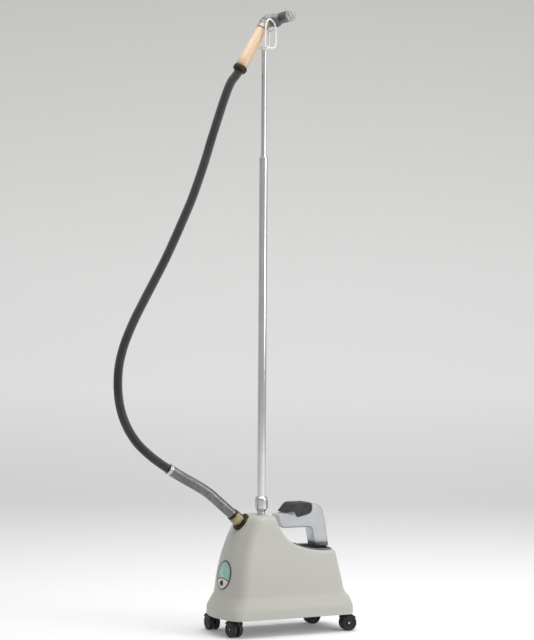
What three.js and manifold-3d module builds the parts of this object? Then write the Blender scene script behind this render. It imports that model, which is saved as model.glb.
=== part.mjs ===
// Upright garment steamer with a telescopic pole, a hanging steam head and a lift-out water bottle.
// Millimetres, +Z up. The front, with the badge and the steam outlet, faces -Y and +X is the right-hand
// side. The origin is on the floor under the centre of the base.
import * as THREE from 'three';
import { mergeVertices } from 'three/addons/utils/BufferGeometryUtils.js';
import Module from 'manifold-3d';

const wasm = await Module();
wasm.setup();

// ---------------------------------------------------------------------------- driving dimensions
const gap = 0.3; // between faces that touch
const slip = 0.5; // round anything that slides or turns

const wheelRadius = 24;
const plateZ = 2 * wheelRadius + 6; // underside of the base plate
const plateThickness = 3;

const baseLength = 432; // skirt, nose to tail
const baseWidth = 224;
const noseBulge = 28; // how far the curved front stands out from its corners
const tailBulge = 14;
const baseCorner = 24;
const wall = 3;
const skirtBottom = plateZ - 2;
const plateauTop = 352; // flat top that carries the pole
const deckTop = 246; // low rear deck round the bottle
const swoopStart = -47; // where the plateau starts to fall to the deck
const swoopEnd = 101;

const poleY = -60;
const lowerPoleRadius = 12.7;
const lowerPoleWall = 1.5;
const lowerPoleTop = 1424;
const upperPoleRadius = 8;
const upperPoleWall = 1.2;
const upperPoleTop = 1748;
const upperPoleOverlap = 139; // length of upper pole inside the lower one at full height
const socketRadius = lowerPoleRadius + 6.8;
const socketNeck = 12;
const socketHeight = 55; // above the plateau
const stayWall = 2.5;
const stayDepth = 24; // top of the stay and foot of the socket, both under the plateau
const socketDepth = 45;

const outletZ = plateauTop - 19;
const outletTilt = 50; // degrees from straight up towards the front
const flangeRadius = 29;
const nutAcrossCorners = 41;
const outletTail = 13.5;

const hoseRadius = 13;
const guardRadius = hoseRadius + 3;
const guardSteps = 8; // hose steps that the steel spring guard covers
const hoseSteps = 56;

const wellFront = 30;
const wellRear = 150;
const wellWidth = 118;
const wellFloor = 95;
const wellWall = 2.5;
const wellCorner = 20;
const bottleGap = 3; // bottle to well wall
const bottleWall = 2;
const bottleFloor = 122;
const bottleShoulder = deckTop - 6;
const handleWidth = 50;
const gripThickness = 4.6;
const neckRadius = 26.5;
const neckY = (wellFront + wellRear) / 2;

const stayFoot = 24;

const casterX = 80;
const casterFront = -175;
const casterRear = 175;
const wheelWidth = 14;
const wheelTrail = 18;
const webWidth = 7;
const axleRadius = 3;
const stemRadius = 5.5;

const handsetLean = 30; // degrees from upright, top towards the rear
const handsetY = poleY - 77; // lower end of the wooden handle
const handsetZ = upperPoleTop - 54;
const handleLength = 136;
const handleRadius = 19;
const hoseInHandle = 85;
const collarLength = 16;
const collarRadius = handleRadius + 2;
const ferruleLength = 24;
const headRadius = 17;
const headLength = 140;
const headY = 34.3; // centre of the cross pipe in the handset's own frame
const headZ = 196.5;

const wireRadius = 2.5;
const hoopSpread = 23; // each hoop from the middle plane

const boilerWidth = 124;
const boilerFront = -172;
const boilerRear = -88;
const boilerFloor = 80;
const boilerTop = 186;

const badgeRadius = 43;
const badgeZ = 177;
const buttonZ = 153;
const buttonRadius = 6;

// ---------------------------------------------------------------------------- materials
const paint = (colour, roughness, metalness = 0) =>
  new THREE.MeshStandardMaterial({ color: colour, roughness, metalness });
const putty = () => paint(0xb9b8af, 0.45);
const darkGrey = () => paint(0x4a4a4a, 0.55);
const black = () => paint(0x1b1b1b, 0.6);
const steel = () => paint(0x9ea2a5, 0.35, 1);
const chrome = () => paint(0xd9dcde, 0.14, 1);
const brass = () => paint(0xb59a5b, 0.35, 1);
const bronze = () => paint(0x2d2015, 0.5, 0.4);

// ---------------------------------------------------------------------------- solids
const toSolid = (geometry) => {
  const bare = geometry.clone();
  bare.deleteAttribute('normal');
  bare.deleteAttribute('uv');
  const merged = mergeVertices(bare, 1e-3);
  const corners = merged.index.array;
  const faces = [];
  for (let i = 0; i < corners.length; i += 3) {
    const [a, b, c] = corners.slice(i, i + 3);
    if (a !== b && b !== c && c !== a) faces.push(a, b, c);
  }
  return new wasm.Manifold(new wasm.Mesh({
    numProp: 3,
    vertProperties: new Float32Array(merged.attributes.position.array),
    triVerts: new Uint32Array(faces),
  }));
};

const toGeometry = (solid) => {
  const { vertProperties, triVerts } = solid.getMesh();
  const geometry = new THREE.BufferGeometry();
  geometry.setAttribute('position', new THREE.BufferAttribute(vertProperties, 3));
  geometry.setIndex(new THREE.BufferAttribute(triVerts, 1));
  const flat = geometry.toNonIndexed();
  flat.computeVertexNormals();
  return flat;
};

// A closed outline of [x, y, fillet] corners, counter-clockwise.
const filleted = (corners) => {
  const shape = new THREE.Shape();
  const last = corners.length;
  corners.forEach(([x, y, fillet], i) => {
    const here = new THREE.Vector2(x, y);
    const before = new THREE.Vector2(...corners[(i + last - 1) % last].slice(0, 2));
    const after = new THREE.Vector2(...corners[(i + 1) % last].slice(0, 2));
    const enter = before.sub(here).setLength(fillet).add(here);
    const leave = after.sub(here).setLength(fillet).add(here);
    if (i === 0) shape.moveTo(enter.x, enter.y);
    else shape.lineTo(enter.x, enter.y);
    if (fillet > 0) shape.quadraticCurveTo(x, y, leave.x, leave.y);
  });
  shape.closePath();
  return shape;
};

const roundedRectangle = (x0, y0, x1, y1, fillet) =>
  filleted([[x0, y0], [x1, y0], [x1, y1], [x0, y1]].map((corner) => [...corner, fillet]));

// An outline in the XY plane raised from z0 to z1, with its end edges rounded by edge.
const raised = (shape, z0, z1, edge = 0, curveSegments = 4) => new THREE.ExtrudeGeometry(shape, {
  depth: z1 - z0 - 2 * edge,
  steps: 1,
  curveSegments,
  bevelEnabled: edge > 0,
  bevelThickness: edge,
  bevelSize: edge,
  bevelOffset: -edge,
  bevelSegments: 2,
}).translate(0, 0, z0 + edge);

// An outline drawn in (Y, Z), made as wide as width along X.
const sideways = (shape, width, edge = 0) => {
  const turn = new THREE.Matrix4().makeBasis(
    new THREE.Vector3(0, 1, 0), new THREE.Vector3(0, 0, 1), new THREE.Vector3(1, 0, 0));
  return raised(shape, -width / 2, width / 2, edge).applyMatrix4(turn);
};

// A profile of [radius, z] points turned round the Z axis. It starts and ends on the axis, or closes.
const turned = (profile, segments = 16) => {
  const points = profile.map(([r, z]) => new THREE.Vector2(r, z));
  const onAxis = profile[0][0] === 0 && profile[profile.length - 1][0] === 0;
  if (!onAxis) points.push(points[0].clone());
  if (THREE.ShapeUtils.area(points) < 0) points.reverse();
  return new THREE.LatheGeometry(points, segments).rotateX(Math.PI / 2);
};

const disc = (radius, z0, z1, segments = 16) =>
  turned([[0, z0], [radius, z0], [radius, z1], [0, z1]], segments);

const ring = (inner, outer, z0, z1, segments = 16) =>
  turned([[inner, z0], [outer, z0], [outer, z1], [inner, z1]], segments);

const crossbar = (radius, length, y, z, segments = 12) =>
  disc(radius, -length / 2, length / 2, segments).rotateY(Math.PI / 2).translate(0, y, z);

// A round bar, or a tube where bore is given, along a path. It has twice as many sides as halfSides.
const along = (path, radius, steps, bore = 0, halfSides = 4) => {
  const section = new THREE.Shape().absarc(0, 0, radius, 0, 2 * Math.PI, false);
  if (bore > 0) section.holes.push(new THREE.Path().absarc(0, 0, bore, 0, 2 * Math.PI, true));
  return new THREE.ExtrudeGeometry(section, { steps, curveSegments: halfSides, extrudePath: path });
};

const inSidePlane = (points, x = 0) => points.map(([y, z]) => new THREE.Vector3(x, y, z));

// ---------------------------------------------------------------------------- scene graph
const steamer = new THREE.Group();

const add = (name, shape, material, parent = steamer) => {
  const geometry = toGeometry(shape.isBufferGeometry ? toSolid(shape) : shape);
  const mesh = new THREE.Mesh(geometry, material);
  mesh.name = name;
  parent.add(mesh);
  return mesh;
};

const frameAt = (y, z, tiltDegrees) => {
  const frame = new THREE.Group();
  frame.position.set(0, y, z);
  frame.rotation.x = THREE.MathUtils.degToRad(tiltDegrees);
  steamer.add(frame);
  frame.updateMatrixWorld(true);
  return frame;
};

// ---------------------------------------------------------------------------- housing form
// The plan of the skirt: straight sides, rounded corners and a bulged nose and tail.
const basePlan = (inset = 0) => {
  const half = baseWidth / 2 - inset;
  const end = baseLength / 2 - inset;
  const endArc = (side, bulge) => {
    const radius = (half ** 2 + bulge ** 2) / (2 * bulge);
    const sweep = Math.asin(half / radius) - baseCorner / radius;
    const middle = side * Math.PI / 2;
    const centre = side * (end - radius);
    return {
      corner: side * (end - bulge),
      first: [radius * Math.cos(middle - sweep), centre + radius * Math.sin(middle - sweep)],
      draw: (shape) => shape.absarc(0, centre, radius, middle - sweep, middle + sweep, false),
    };
  };
  const nose = endArc(-1, noseBulge);
  const tail = endArc(1, tailBulge);
  const shape = new THREE.Shape();
  nose.draw(shape);
  shape.quadraticCurveTo(half, nose.corner, half, nose.corner + baseCorner);
  shape.lineTo(half, tail.corner - baseCorner);
  shape.quadraticCurveTo(half, tail.corner, ...tail.first);
  tail.draw(shape);
  shape.quadraticCurveTo(-half, tail.corner, -half, tail.corner - baseCorner);
  shape.lineTo(-half, nose.corner + baseCorner);
  shape.quadraticCurveTo(-half, nose.corner, ...nose.first);
  return shape;
};

// How far the body stands inside the skirt at each height: [z, at the nose, at the tail, at each side].
// The flared skirt keeps its height over the floor and the upper body keeps its depth under the plateau.
const bodyLevels = [
  [skirtBottom, 0, 0, 0],
  [skirtBottom + 24, 1, 1, 1],
  [skirtBottom + 42, 9, 7, 4.5],
  [skirtBottom + 54, 16, 13, 7],
  [skirtBottom + 66, 22.5, 25, 9.5],
  [skirtBottom + 82, 25.5, 32, 10.5],
  [skirtBottom + 105, 28.5, 37, 12],
  [plateauTop - 171, 32.5, 43, 14],
  [plateauTop - 123, 43, 53.5, 20],
  [plateauTop - 80, 57, 63, 26.5],
  [plateauTop - 55, 67, 67, 30],
  [plateauTop - 36, 77, 70, 32.5],
  [plateauTop - 19, 88, 73, 35],
  [plateauTop - 6, 99, 76, 38.5],
  [plateauTop, 108, 80, 46],
];

const insetAt = (z, column) => {
  const above = Math.max(1, bodyLevels.findIndex((level) => level[0] >= z));
  const [low, high] = [bodyLevels[above - 1], bodyLevels[above]];
  return low[column] + (high[column] - low[column]) * (z - low[0]) / (high[0] - low[0]);
};
const noseAt = (z) => -baseLength / 2 + insetAt(z, 1);
const tailAt = (z) => baseLength / 2 - insetAt(z, 2);

// The body's full outer form, or the same form grown (shrunk if negative) by an even thickness.
const bodyForm = (grow = 0) => {
  const form = new THREE.ExtrudeGeometry(basePlan(), {
    depth: 1, steps: bodyLevels.length - 1, curveSegments: 3, bevelEnabled: false });
  const place = form.attributes.position;
  for (let i = 0; i < place.count; i += 1) {
    const step = Math.round(place.getZ(i) * (bodyLevels.length - 1));
    const [z, nose, tail, side] = bodyLevels[step];
    const front = -baseLength / 2 + nose - grow;
    const rear = baseLength / 2 - tail + grow;
    const across = (baseWidth / 2 - side + grow) / (baseWidth / 2);
    const end = step === 0 ? -Math.abs(grow) : grow;
    const lift = step === 0 || step === bodyLevels.length - 1 ? end : 0;
    place.setXYZ(i, place.getX(i) * across, (front + rear) / 2 + place.getY(i) * (rear - front) / baseLength,
      z + lift);
  }
  return toSolid(form);
};

// Everything above the swoop from the plateau down to the deck, moved into the body by depth.
const swoop = new THREE.CubicBezierCurve(
  new THREE.Vector2(swoopStart, plateauTop),
  new THREE.Vector2(swoopStart + 18, plateauTop - 60),
  new THREE.Vector2(swoopStart + 44, deckTop + 12),
  new THREE.Vector2(swoopEnd, deckTop));

const aboveSwoop = (depth = 0) => {
  const clear = plateauTop + 100;
  const behind = baseLength;
  const shape = new THREE.Shape();
  const points = Array.from({ length: 13 }, (_, i) => {
    const point = swoop.getPoint(i / 12);
    const heading = swoop.getTangent(i / 12);
    return new THREE.Vector2(point.x + depth * heading.y, point.y - depth * heading.x);
  });
  const floor = deckTop - depth;
  shape.moveTo(points[0].x, clear);
  points.slice(0, -1).forEach((point) => shape.lineTo(point.x, point.y));
  shape.lineTo(swoopEnd, floor);
  shape.lineTo(behind, floor);
  shape.lineTo(behind, clear);
  return toSolid(sideways(shape, 2 * baseWidth));
};

// ---------------------------------------------------------------------------- housing
const outletY = noseAt(outletZ);
const outlet = frameAt(outletY, outletZ, outletTilt);
const inOutlet = (geometry) => toSolid(geometry.applyMatrix4(outlet.matrixWorld));
const noseLean = Math.atan2(noseAt(badgeZ) - noseAt(buttonZ), badgeZ - buttonZ);
const buttonTilt = 90 - THREE.MathUtils.radToDeg(noseLean);
const button = frameAt(noseAt(buttonZ), buttonZ, buttonTilt);
const inButton = (geometry) => toSolid(geometry.applyMatrix4(button.matrixWorld));
const bezelRadius = buttonRadius + 3;
const glandZ = 140;
const glandRadius = 8;
const gland = frameAt(tailAt(glandZ), glandZ, -78);

const bossX = baseWidth / 2 - wall - 8;
const bossY = 110;
const bossHeight = 30;
const screwRadius = 1.5;
const screwDepth = 17; // above the base plate
const corners = [[-1, -1], [1, -1], [-1, 1], [1, 1]];
const plateTop = plateZ + plateThickness;

const wellBox = (grow, z0, z1) => raised(roundedRectangle(
  -wellWidth / 2 - grow, wellFront - grow, wellWidth / 2 + grow, wellRear + grow, wellCorner), z0, z1);

let housing = bodyForm().subtract(aboveSwoop());
housing = housing.subtract(bodyForm(-wall).subtract(aboveSwoop(wall)));
for (const [side, end] of corners) {
  const boss = disc(5.5, plateTop + gap, plateTop + bossHeight, 12).translate(side * bossX, end * bossY, 0);
  housing = housing.add(toSolid(boss));
}
for (const [side, end] of corners) {
  const bore = disc(screwRadius + gap, plateZ, plateTop + screwDepth + 3, 10);
  housing = housing.subtract(toSolid(bore.translate(side * bossX, end * bossY, 0)));
}
const poleHole = disc(socketNeck + slip, plateauTop - 40, plateauTop + 20).translate(0, poleY, 0);
housing = housing.subtract(toSolid(poleHole));
housing = housing.subtract(inOutlet(disc(outletTail + slip, -30, 30)));
housing = housing.subtract(inButton(disc(bezelRadius + slip - 1.5, -20, 20)));
housing = housing.subtract(toSolid(disc(glandRadius + slip, -20, 20).applyMatrix4(gland.matrixWorld)));
housing = housing.subtract(toSolid(wellBox(wellWall + slip, deckTop - 60, plateauTop)));
add('housing_shell', housing, putty());

// The dark liner stands on the deck and hangs down into the body, where the bottle sits in it.
const rimInset = 7;
const rimThickness = 3;
const onDeck = aboveSwoop(-gap).subtract(aboveSwoop(-gap - rimThickness));
const rimFront = wellFront - 14;
const rimPlan = roundedRectangle(-baseWidth, rimFront, baseWidth, baseLength, 1);
const rimZone = raised(rimPlan, wellFloor, plateauTop);
let well = toSolid(wellBox(wellWall, wellFloor - wellWall, plateauTop));
well = well.subtract(aboveSwoop(-gap - rimThickness));
well = well.add(onDeck.intersect(bodyForm(-rimInset)).intersect(toSolid(rimZone)));
well = well.subtract(toSolid(wellBox(0, wellFloor, plateauTop + 20)));
const postRadius = 8.5;
const postHole = disc(postRadius + slip, wellFloor - 10, wellFloor + 10).translate(0, neckY, 0);
add('bottle_well', well.subtract(toSolid(postHole)), darkGrey());

let plate = toSolid(raised(basePlan(wall + 1), plateZ, plateTop));
for (const [side, end] of corners) {
  const hole = disc(screwRadius + slip, plateZ - 5, plateTop + 5, 10);
  plate = plate.subtract(toSolid(hole.translate(side * bossX, end * bossY, 0)));
  const stemY = end < 0 ? casterFront : casterRear;
  const socket = disc(stemRadius + slip, plateZ - 5, plateTop + 5, 12);
  plate = plate.subtract(toSolid(socket.translate(side * casterX, stemY, 0)));
}
add('base_plate', plate, steel());

corners.forEach(([side, end], i) => {
  const headTop = plateZ - gap;
  const screw = turned([
    [0, headTop - 2.4], [3.2, headTop - 2.4], [3.8, headTop], [screwRadius, headTop],
    [screwRadius, plateTop + screwDepth], [0, plateTop + screwDepth]], 12);
  add(`base_screw_${i + 1}`, screw.translate(side * bossX, end * bossY, 0), steel());
});

// ---------------------------------------------------------------------------- badge and power button
const badgeFace = toSolid(disc(badgeRadius, 0, 90, 32)
  .rotateX(Math.PI / 2).translate(0, noseAt(badgeZ) + 45, badgeZ));
let badge = badgeFace.intersect(bodyForm(2.6)).subtract(bodyForm(gap));
badge = badge.subtract(inButton(disc(bezelRadius + slip, -20, 20)));
add('badge_plate', badge, paint(0x7fb39d, 0.35));
add('switch_bezel', turned([[buttonRadius + slip, -12], [bezelRadius - 1.5, -12], [bezelRadius - 1.5, 0.6],
  [bezelRadius, 0.6], [bezelRadius, 3.6], [buttonRadius + slip, 3.6]]), darkGrey(), button);
const buttonTop = 6.2;
add('power_button', turned([[0, -10], [buttonRadius, -10], [buttonRadius, buttonTop - 0.8],
  [buttonRadius - 1, buttonTop], [0, buttonTop]]), black(), button);

// ---------------------------------------------------------------------------- steam outlet and hose
const flange = inOutlet(ring(outletTail + slip, flangeRadius, -18, 4.5, 28)).subtract(bodyForm(gap + 0.1));
add('outlet_flange', flange, bronze());
const nutStart = 4.5 + gap;
const nutEnd = nutStart + 22;
const hexagon = disc(nutAcrossCorners / 2, nutStart, nutEnd, 6);
const nut = toSolid(hexagon.rotateZ(Math.PI / 2));
const tail = toSolid(disc(outletTail, -20, nutStart + 1));
const shoulder = toSolid(disc(16, nutEnd - 1, nutEnd + 4));
const outletBore = toSolid(disc(9, -21, nutEnd + 5));
add('outlet_nut', nut.add(tail).add(shoulder).subtract(outletBore), brass(), outlet);
const collarStart = nutEnd + 4 + gap;
add('hose_collar', ring(9, 18.5, collarStart, collarStart + 8, 24), bronze(), outlet);
const hoseStart = collarStart + 8 + gap;

const outward = new THREE.Vector3(0, 0, 1).transformDirection(outlet.matrixWorld);
const outletCentre = new THREE.Vector3(0, outletY, outletZ);
const handsetAxis = new THREE.Vector3(0, 0, 1)
  .applyAxisAngle(new THREE.Vector3(1, 0, 0), THREE.MathUtils.degToRad(-handsetLean));
const handsetFoot = new THREE.Vector3(0, handsetY, handsetZ);
const hoseMiddle = inSidePlane([
  [-197, 391], [-236, 423], [-275, 447], [-314, 468], [-352, 490], [-391, 514], [-429, 542], [-467, 578],
  [-499, 626], [-519, 680], [-527, 740], [-524, 800], [-510, 857], [-483, 922], [-449, 987], [-413, 1052],
  [-381, 1111], [-352, 1170], [-324, 1230], [-297, 1290], [-274, 1350], [-253, 1410], [-234, 1470],
  [-214, 1530], [-193, 1591], [-170, 1646]]);
const hosePath = new THREE.CatmullRomCurve3([
  outletCentre.clone().addScaledVector(outward, hoseStart),
  outletCentre.clone().addScaledVector(outward, hoseStart + 12),
  ...hoseMiddle,
  handsetFoot.clone().addScaledVector(handsetAxis, -collarLength - 8),
  handsetFoot.clone().addScaledVector(handsetAxis, hoseInHandle / 2),
  handsetFoot.clone().addScaledVector(handsetAxis, hoseInHandle)], false, 'centripetal');
hosePath.arcLengthDivisions = 2000;
add('steam_hose', along(hosePath, hoseRadius, hoseSteps, 0, 5), paint(0x1d1e20, 0.8));

// A stretch of the hose's own path, so that what covers the hose bends at the same places.
class HoseStretch extends THREE.Curve {
  constructor(first, last) {
    super();
    this.first = first / hoseSteps;
    this.last = last / hoseSteps;
  }

  getPoint(t) {
    return hosePath.getPointAt(this.first + (this.last - this.first) * t);
  }
}
const sleeveBore = hoseRadius + 1;
const guard = along(new HoseStretch(0, guardSteps), guardRadius, guardSteps, sleeveBore, 5);
add('hose_spring_guard', guard, paint(0x7b7d7e, 0.4, 0.8));
const guardEnd = new HoseStretch(guardSteps + 0.02, guardSteps + 0.35);
add('guard_ferrule', along(guardEnd, guardRadius + 1, 1, sleeveBore, 5), steel());

// ---------------------------------------------------------------------------- pole and mast
const stay = ring(socketNeck + slip, socketNeck + slip + stayWall, plateTop + gap, plateauTop - stayDepth);
const foot = ring(socketNeck + slip, stayFoot, plateTop + gap, plateTop + gap + 3);
add('pole_stay', toSolid(stay).add(toSolid(foot)).translate([0, poleY, 0]), steel());
const poleFoot = plateauTop + 20;
const socketTop = plateauTop + socketHeight;
const poleFit = lowerPoleRadius + gap;
const socket = turned([
  [8, plateauTop - socketDepth], [socketNeck, plateauTop - socketDepth], [socketNeck, plateauTop + 10],
  [socketRadius - 5, plateauTop + 12], [socketRadius - 1, plateauTop + 17], [socketRadius, plateauTop + 22],
  [socketRadius, socketTop - 9], [socketRadius - 1.5, socketTop - 3], [socketRadius - 5, socketTop],
  [poleFit, socketTop], [poleFit, poleFoot - gap], [8, poleFoot - gap]], 24);
add('pole_socket', socket.translate(0, poleY, 0), chrome());
const poleBore = lowerPoleRadius - lowerPoleWall;
const lowerTube = ring(poleBore, lowerPoleRadius, poleFoot, lowerPoleTop);
add('lower_pole', lowerTube.translate(0, poleY, 0), chrome());
const bushBore = upperPoleRadius + slip;
const bush = turned([
  [bushBore, lowerPoleTop - 26], [poleBore - gap, lowerPoleTop - 26], [poleBore - gap, lowerPoleTop + gap],
  [lowerPoleRadius, lowerPoleTop + gap], [lowerPoleRadius, lowerPoleTop + 2], [bushBore, lowerPoleTop + 2]]);
add('pole_mouth_bush', bush.translate(0, poleY, 0), steel());

const upperPoleFoot = lowerPoleTop - upperPoleOverlap;
const upperBore = upperPoleRadius - upperPoleWall;
const upperTube = ring(upperBore, upperPoleRadius, upperPoleFoot, upperPoleTop);
add('upper_pole', upperTube.translate(0, poleY, 0), chrome());
const glide = ring(upperPoleRadius + gap, poleBore - slip, upperPoleFoot, upperPoleFoot + 30);
add('upper_pole_glide', glide.translate(0, poleY, 0), paint(0xe6e4dc, 0.5));
const capBase = upperPoleTop + gap;
const wireY = poleY;
const wireZ = capBase + 6.5;
const cap = turned([[0, upperPoleTop - 16], [upperBore - gap, upperPoleTop - 16], [upperBore - gap, capBase],
  [10.5, capBase], [11, capBase + 1], [11, capBase + 11], [9, capBase + 13], [0, capBase + 13]]);
const wireHole = toSolid(crossbar(wireRadius + 0.4, 60, wireY, wireZ));
add('hook_cap', toSolid(cap.translate(0, poleY, 0)).subtract(wireHole), paint(0xe9e8e4, 0.4));

// Two wire hoops stand beside the head's neck; the neck hangs over the bar that joins them.
const hoopRear = 26.5;
const barRise = 53;
const hoop = [[-7, 3], [-7.5, 45], [-5, 72], [5, 84], [18, 77], [hoopRear - 1, 62], [hoopRear, barRise - 8],
  [hoopRear - 1, 8], [20, -1], [0, -1]].map(([y, z]) => [wireY + y, wireZ + z]);
const neckBar = [wireY + hoopRear, wireZ + barRise];
let hook = toSolid(crossbar(wireRadius, 2 * hoopSpread, wireY, wireZ, 8));
hook = hook.add(toSolid(crossbar(wireRadius, 2 * hoopSpread, ...neckBar, 8)));
for (const side of [-1, 1]) {
  const loop = new THREE.CatmullRomCurve3(inSidePlane(hoop, side * hoopSpread), true);
  hook = hook.add(toSolid(along(loop, wireRadius, 24, 0, 3)));
}
add('hook_wire', hook, paint(0xf4f3ef, 0.35, 0.1));

// ---------------------------------------------------------------------------- handset
const handset = frameAt(handsetY, handsetZ, -handsetLean);
const hoseBore = hoseRadius + 0.6;
const spigotBore = 8;
const wood = turned([
  [hoseBore, 0], [handleRadius - 2, 0], [handleRadius, 5], [handleRadius, 40], [handleRadius - 1.6, 85],
  [handleRadius - 3.3, 125], [handleRadius - 4.5, handleLength], [spigotBore, handleLength],
  [spigotBore, hoseInHandle + 5], [hoseBore, hoseInHandle + 5]], 24);
add('wood_handle', wood, paint(0xd9b184, 0.55), handset);
add('handle_collar', ring(hoseBore, collarRadius, -collarLength, -gap, 24), bronze(), handset);
const ferruleTop = handleLength + ferruleLength;
add('handle_ferrule', ring(spigotBore, 17, handleLength + gap, ferruleTop, 24), steel(), handset);

const neckStart = ferruleTop + gap;
const neckPath = new THREE.QuadraticBezierCurve3(
  new THREE.Vector3(0, 0, neckStart), new THREE.Vector3(0, 0, neckStart + 14),
  new THREE.Vector3(0, headY, headZ));
const slotPitch = 24;
let head = toSolid(along(neckPath, 16, 5, 0, 6));
head = head.add(toSolid(disc(spigotBore - gap, hoseInHandle + 18, neckStart + 3)));
head = head.add(toSolid(crossbar(headRadius, headLength, headY, headZ, 20)));
head = head.add(toSolid(new THREE.SphereGeometry(22, 12, 8).translate(0, headY - 8, headZ - 12)));
head = head.subtract(toSolid(along(neckPath, 9, 5)));
head = head.subtract(toSolid(disc(5, hoseInHandle, neckStart + 4)));
head = head.subtract(toSolid(crossbar(headRadius - 2.5, headLength + 4, headY, headZ, 20)));
for (const place of [-2, -1, 0, 1, 2]) {
  const slot = new THREE.BoxGeometry(16, 20, 2.5);
  head = head.subtract(toSolid(slot.translate(place * slotPitch, headY + headRadius, headZ)));
}
add('head_casting', head, paint(0x8b8d8f, 0.3, 1), handset);
for (const [name, side] of [['left', -1], ['right', 1]]) {
  const plugRadius = headRadius - 2.5 - gap;
  const end = turned([[0, -6], [plugRadius, -6], [plugRadius, gap], [headRadius + 0.6, gap],
    [headRadius + 0.6, 2.5], [headRadius - 1, 3.5], [0, 3.5]], 24);
  end.rotateY(side * Math.PI / 2).translate(side * headLength / 2, headY, headZ);
  add(`head_end_cap_${name}`, end, chrome(), handset);
}

// ---------------------------------------------------------------------------- water bottle
const armFloor = deckTop + 65;
const armTop = deckTop + 135;
const columnRear = wellRear + 8;
const columnFront = columnRear - 46;
const armReach = 128; // the arm's tip ahead of the column
const columnFoot = deckTop + rimThickness + 1;
const handleForm = () => filleted([
  [columnFront, columnFoot, 7], [columnRear, columnFoot, 7], [columnRear - 12, armFloor + 18, 20],
  [columnRear - 24, armTop - 8, 14], [columnFront - 4, armTop + 2, 7], [columnFront - 22, armTop, 6],
  [columnFront - 72, armTop - 1, 8], [columnFront - armReach + 36, armTop - 24, 8],
  [columnFront - armReach, armTop - 29, 8], [columnFront - armReach + 15, armFloor, 8],
  [columnFront - 11, armFloor, 10]]);
const shrunk = (shape, by) => {
  const points = shape.getPoints(4).slice(0, -1);
  const count = points.length;
  return new THREE.Shape(points.map((here, i) => {
    const before = here.clone().sub(points[(i + count - 1) % count]).normalize();
    const after = points[(i + 1) % count].clone().sub(here).normalize();
    const heading = before.add(after).normalize();
    return new THREE.Vector2(here.x - by * heading.y, here.y + by * heading.x);
  }));
};
const tankBox = (inset, z0, z1, edge) => toSolid(raised(roundedRectangle(
  -wellWidth / 2 + bottleGap + inset, wellFront + bottleGap + inset, wellWidth / 2 - bottleGap - inset,
  wellRear - bottleGap - inset, wellCorner - bottleGap), z0, z1, edge));
const atNeck = (solid) => solid.translate([0, neckY, 0]);
const capFloor = wellFloor + 5;
const neckEnd = capFloor + 5;
const throat = (inset, z0, z1) => toSolid(raised(roundedRectangle(-18 + inset, columnFront + 8 + inset,
  18 - inset, wellRear - bottleGap - 3 - inset, 6), z0, z1));
let bottle = tankBox(0, bottleFloor, bottleShoulder, 8);
bottle = bottle.add(toSolid(sideways(handleForm(), handleWidth, 4)));
bottle = bottle.add(throat(0, bottleShoulder - 4, columnFoot + 8));
bottle = bottle.add(atNeck(toSolid(disc(neckRadius, neckEnd, bottleFloor + 3, 24))));
bottle = bottle.subtract(tankBox(bottleWall, bottleFloor + bottleWall, bottleShoulder - bottleWall, 8));
bottle = bottle.subtract(toSolid(sideways(shrunk(handleForm(), bottleWall), handleWidth - 2 * bottleWall)));
bottle = bottle.subtract(throat(bottleWall, bottleShoulder - 6, columnFoot + 10));
bottle = bottle.subtract(atNeck(toSolid(disc(neckRadius - bottleWall, neckEnd - 1, bottleFloor + 6, 24))));
add('water_bottle', bottle, paint(0xdfe6ea, 0.1));

const gripForm = filleted([
  [-105, -24, 4], [-92, -23, 4], [-72, -21, 5], [-66, -40, 6], [-22, -30, 7], [-13, -20, 5], [-14, 5, 8],
  [-79, 5, 8]].map(([back, up, fillet]) => [columnFront + back, armTop + up, fillet]));
const gripSeat = toSolid(sideways(shrunk(handleForm(), -0.4), handleWidth + 0.8));
const grip = toSolid(sideways(gripForm, handleWidth + 2 * gripThickness, 0.5)).subtract(gripSeat);
add('bottle_grip', grip, black());

const capRadius = neckRadius + 4;
const stemHole = 4.5;
const bottleCap = turned([
  [stemHole, capFloor - 3], [capRadius - 1, capFloor - 3], [capRadius, capFloor - 2],
  [capRadius, bottleFloor - 4], [neckRadius + slip, bottleFloor - 4], [neckRadius + slip, capFloor],
  [stemHole, capFloor]], 24);
add('bottle_cap', bottleCap.translate(0, neckY, 0), paint(0x2b2b2b, 0.5));
const gasket = ring(neckRadius - 7, neckRadius - 0.2, capFloor + gap, neckEnd - gap, 24);
add('cap_gasket', gasket.translate(0, neckY, 0), paint(0x8f2f26, 0.8));
const plungerRadius = stemHole - slip;
const plunger = turned([
  [0, capFloor - 2.5], [plungerRadius, capFloor - 2.5], [plungerRadius, capFloor + 1], [10, capFloor + 1],
  [10, capFloor + 3.5], [3, capFloor + 4.5], [3, capFloor + 18], [0, capFloor + 18]]);
add('cap_plunger', plunger.translate(0, neckY, 0), brass());

// ---------------------------------------------------------------------------- inside the housing
const wellUnder = wellFloor - wellWall;
const feedZ = wellUnder - 10;
const postTip = capFloor - 3; // just under the plunger
const postFlange = 14;
const post = turned([[0, feedZ - 8], [postRadius - 2, feedZ - 8], [postRadius, feedZ - 6],
  [postRadius, feedZ + 3], [postFlange, feedZ + 3], [postFlange, wellUnder - gap],
  [postRadius, wellUnder - gap],
  [postRadius, wellFloor + gap], [2.5, wellFloor + 2 * gap], [2.5, postTip], [0, postTip]]);
const barb = disc(4, 0, 16, 12).rotateX(Math.PI / 2);
const valvePost = toSolid(post).add(toSolid(barb.translate(0, 0, feedZ)));
add('feed_valve_post', valvePost.translate([0, neckY, 0]), brass());

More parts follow.
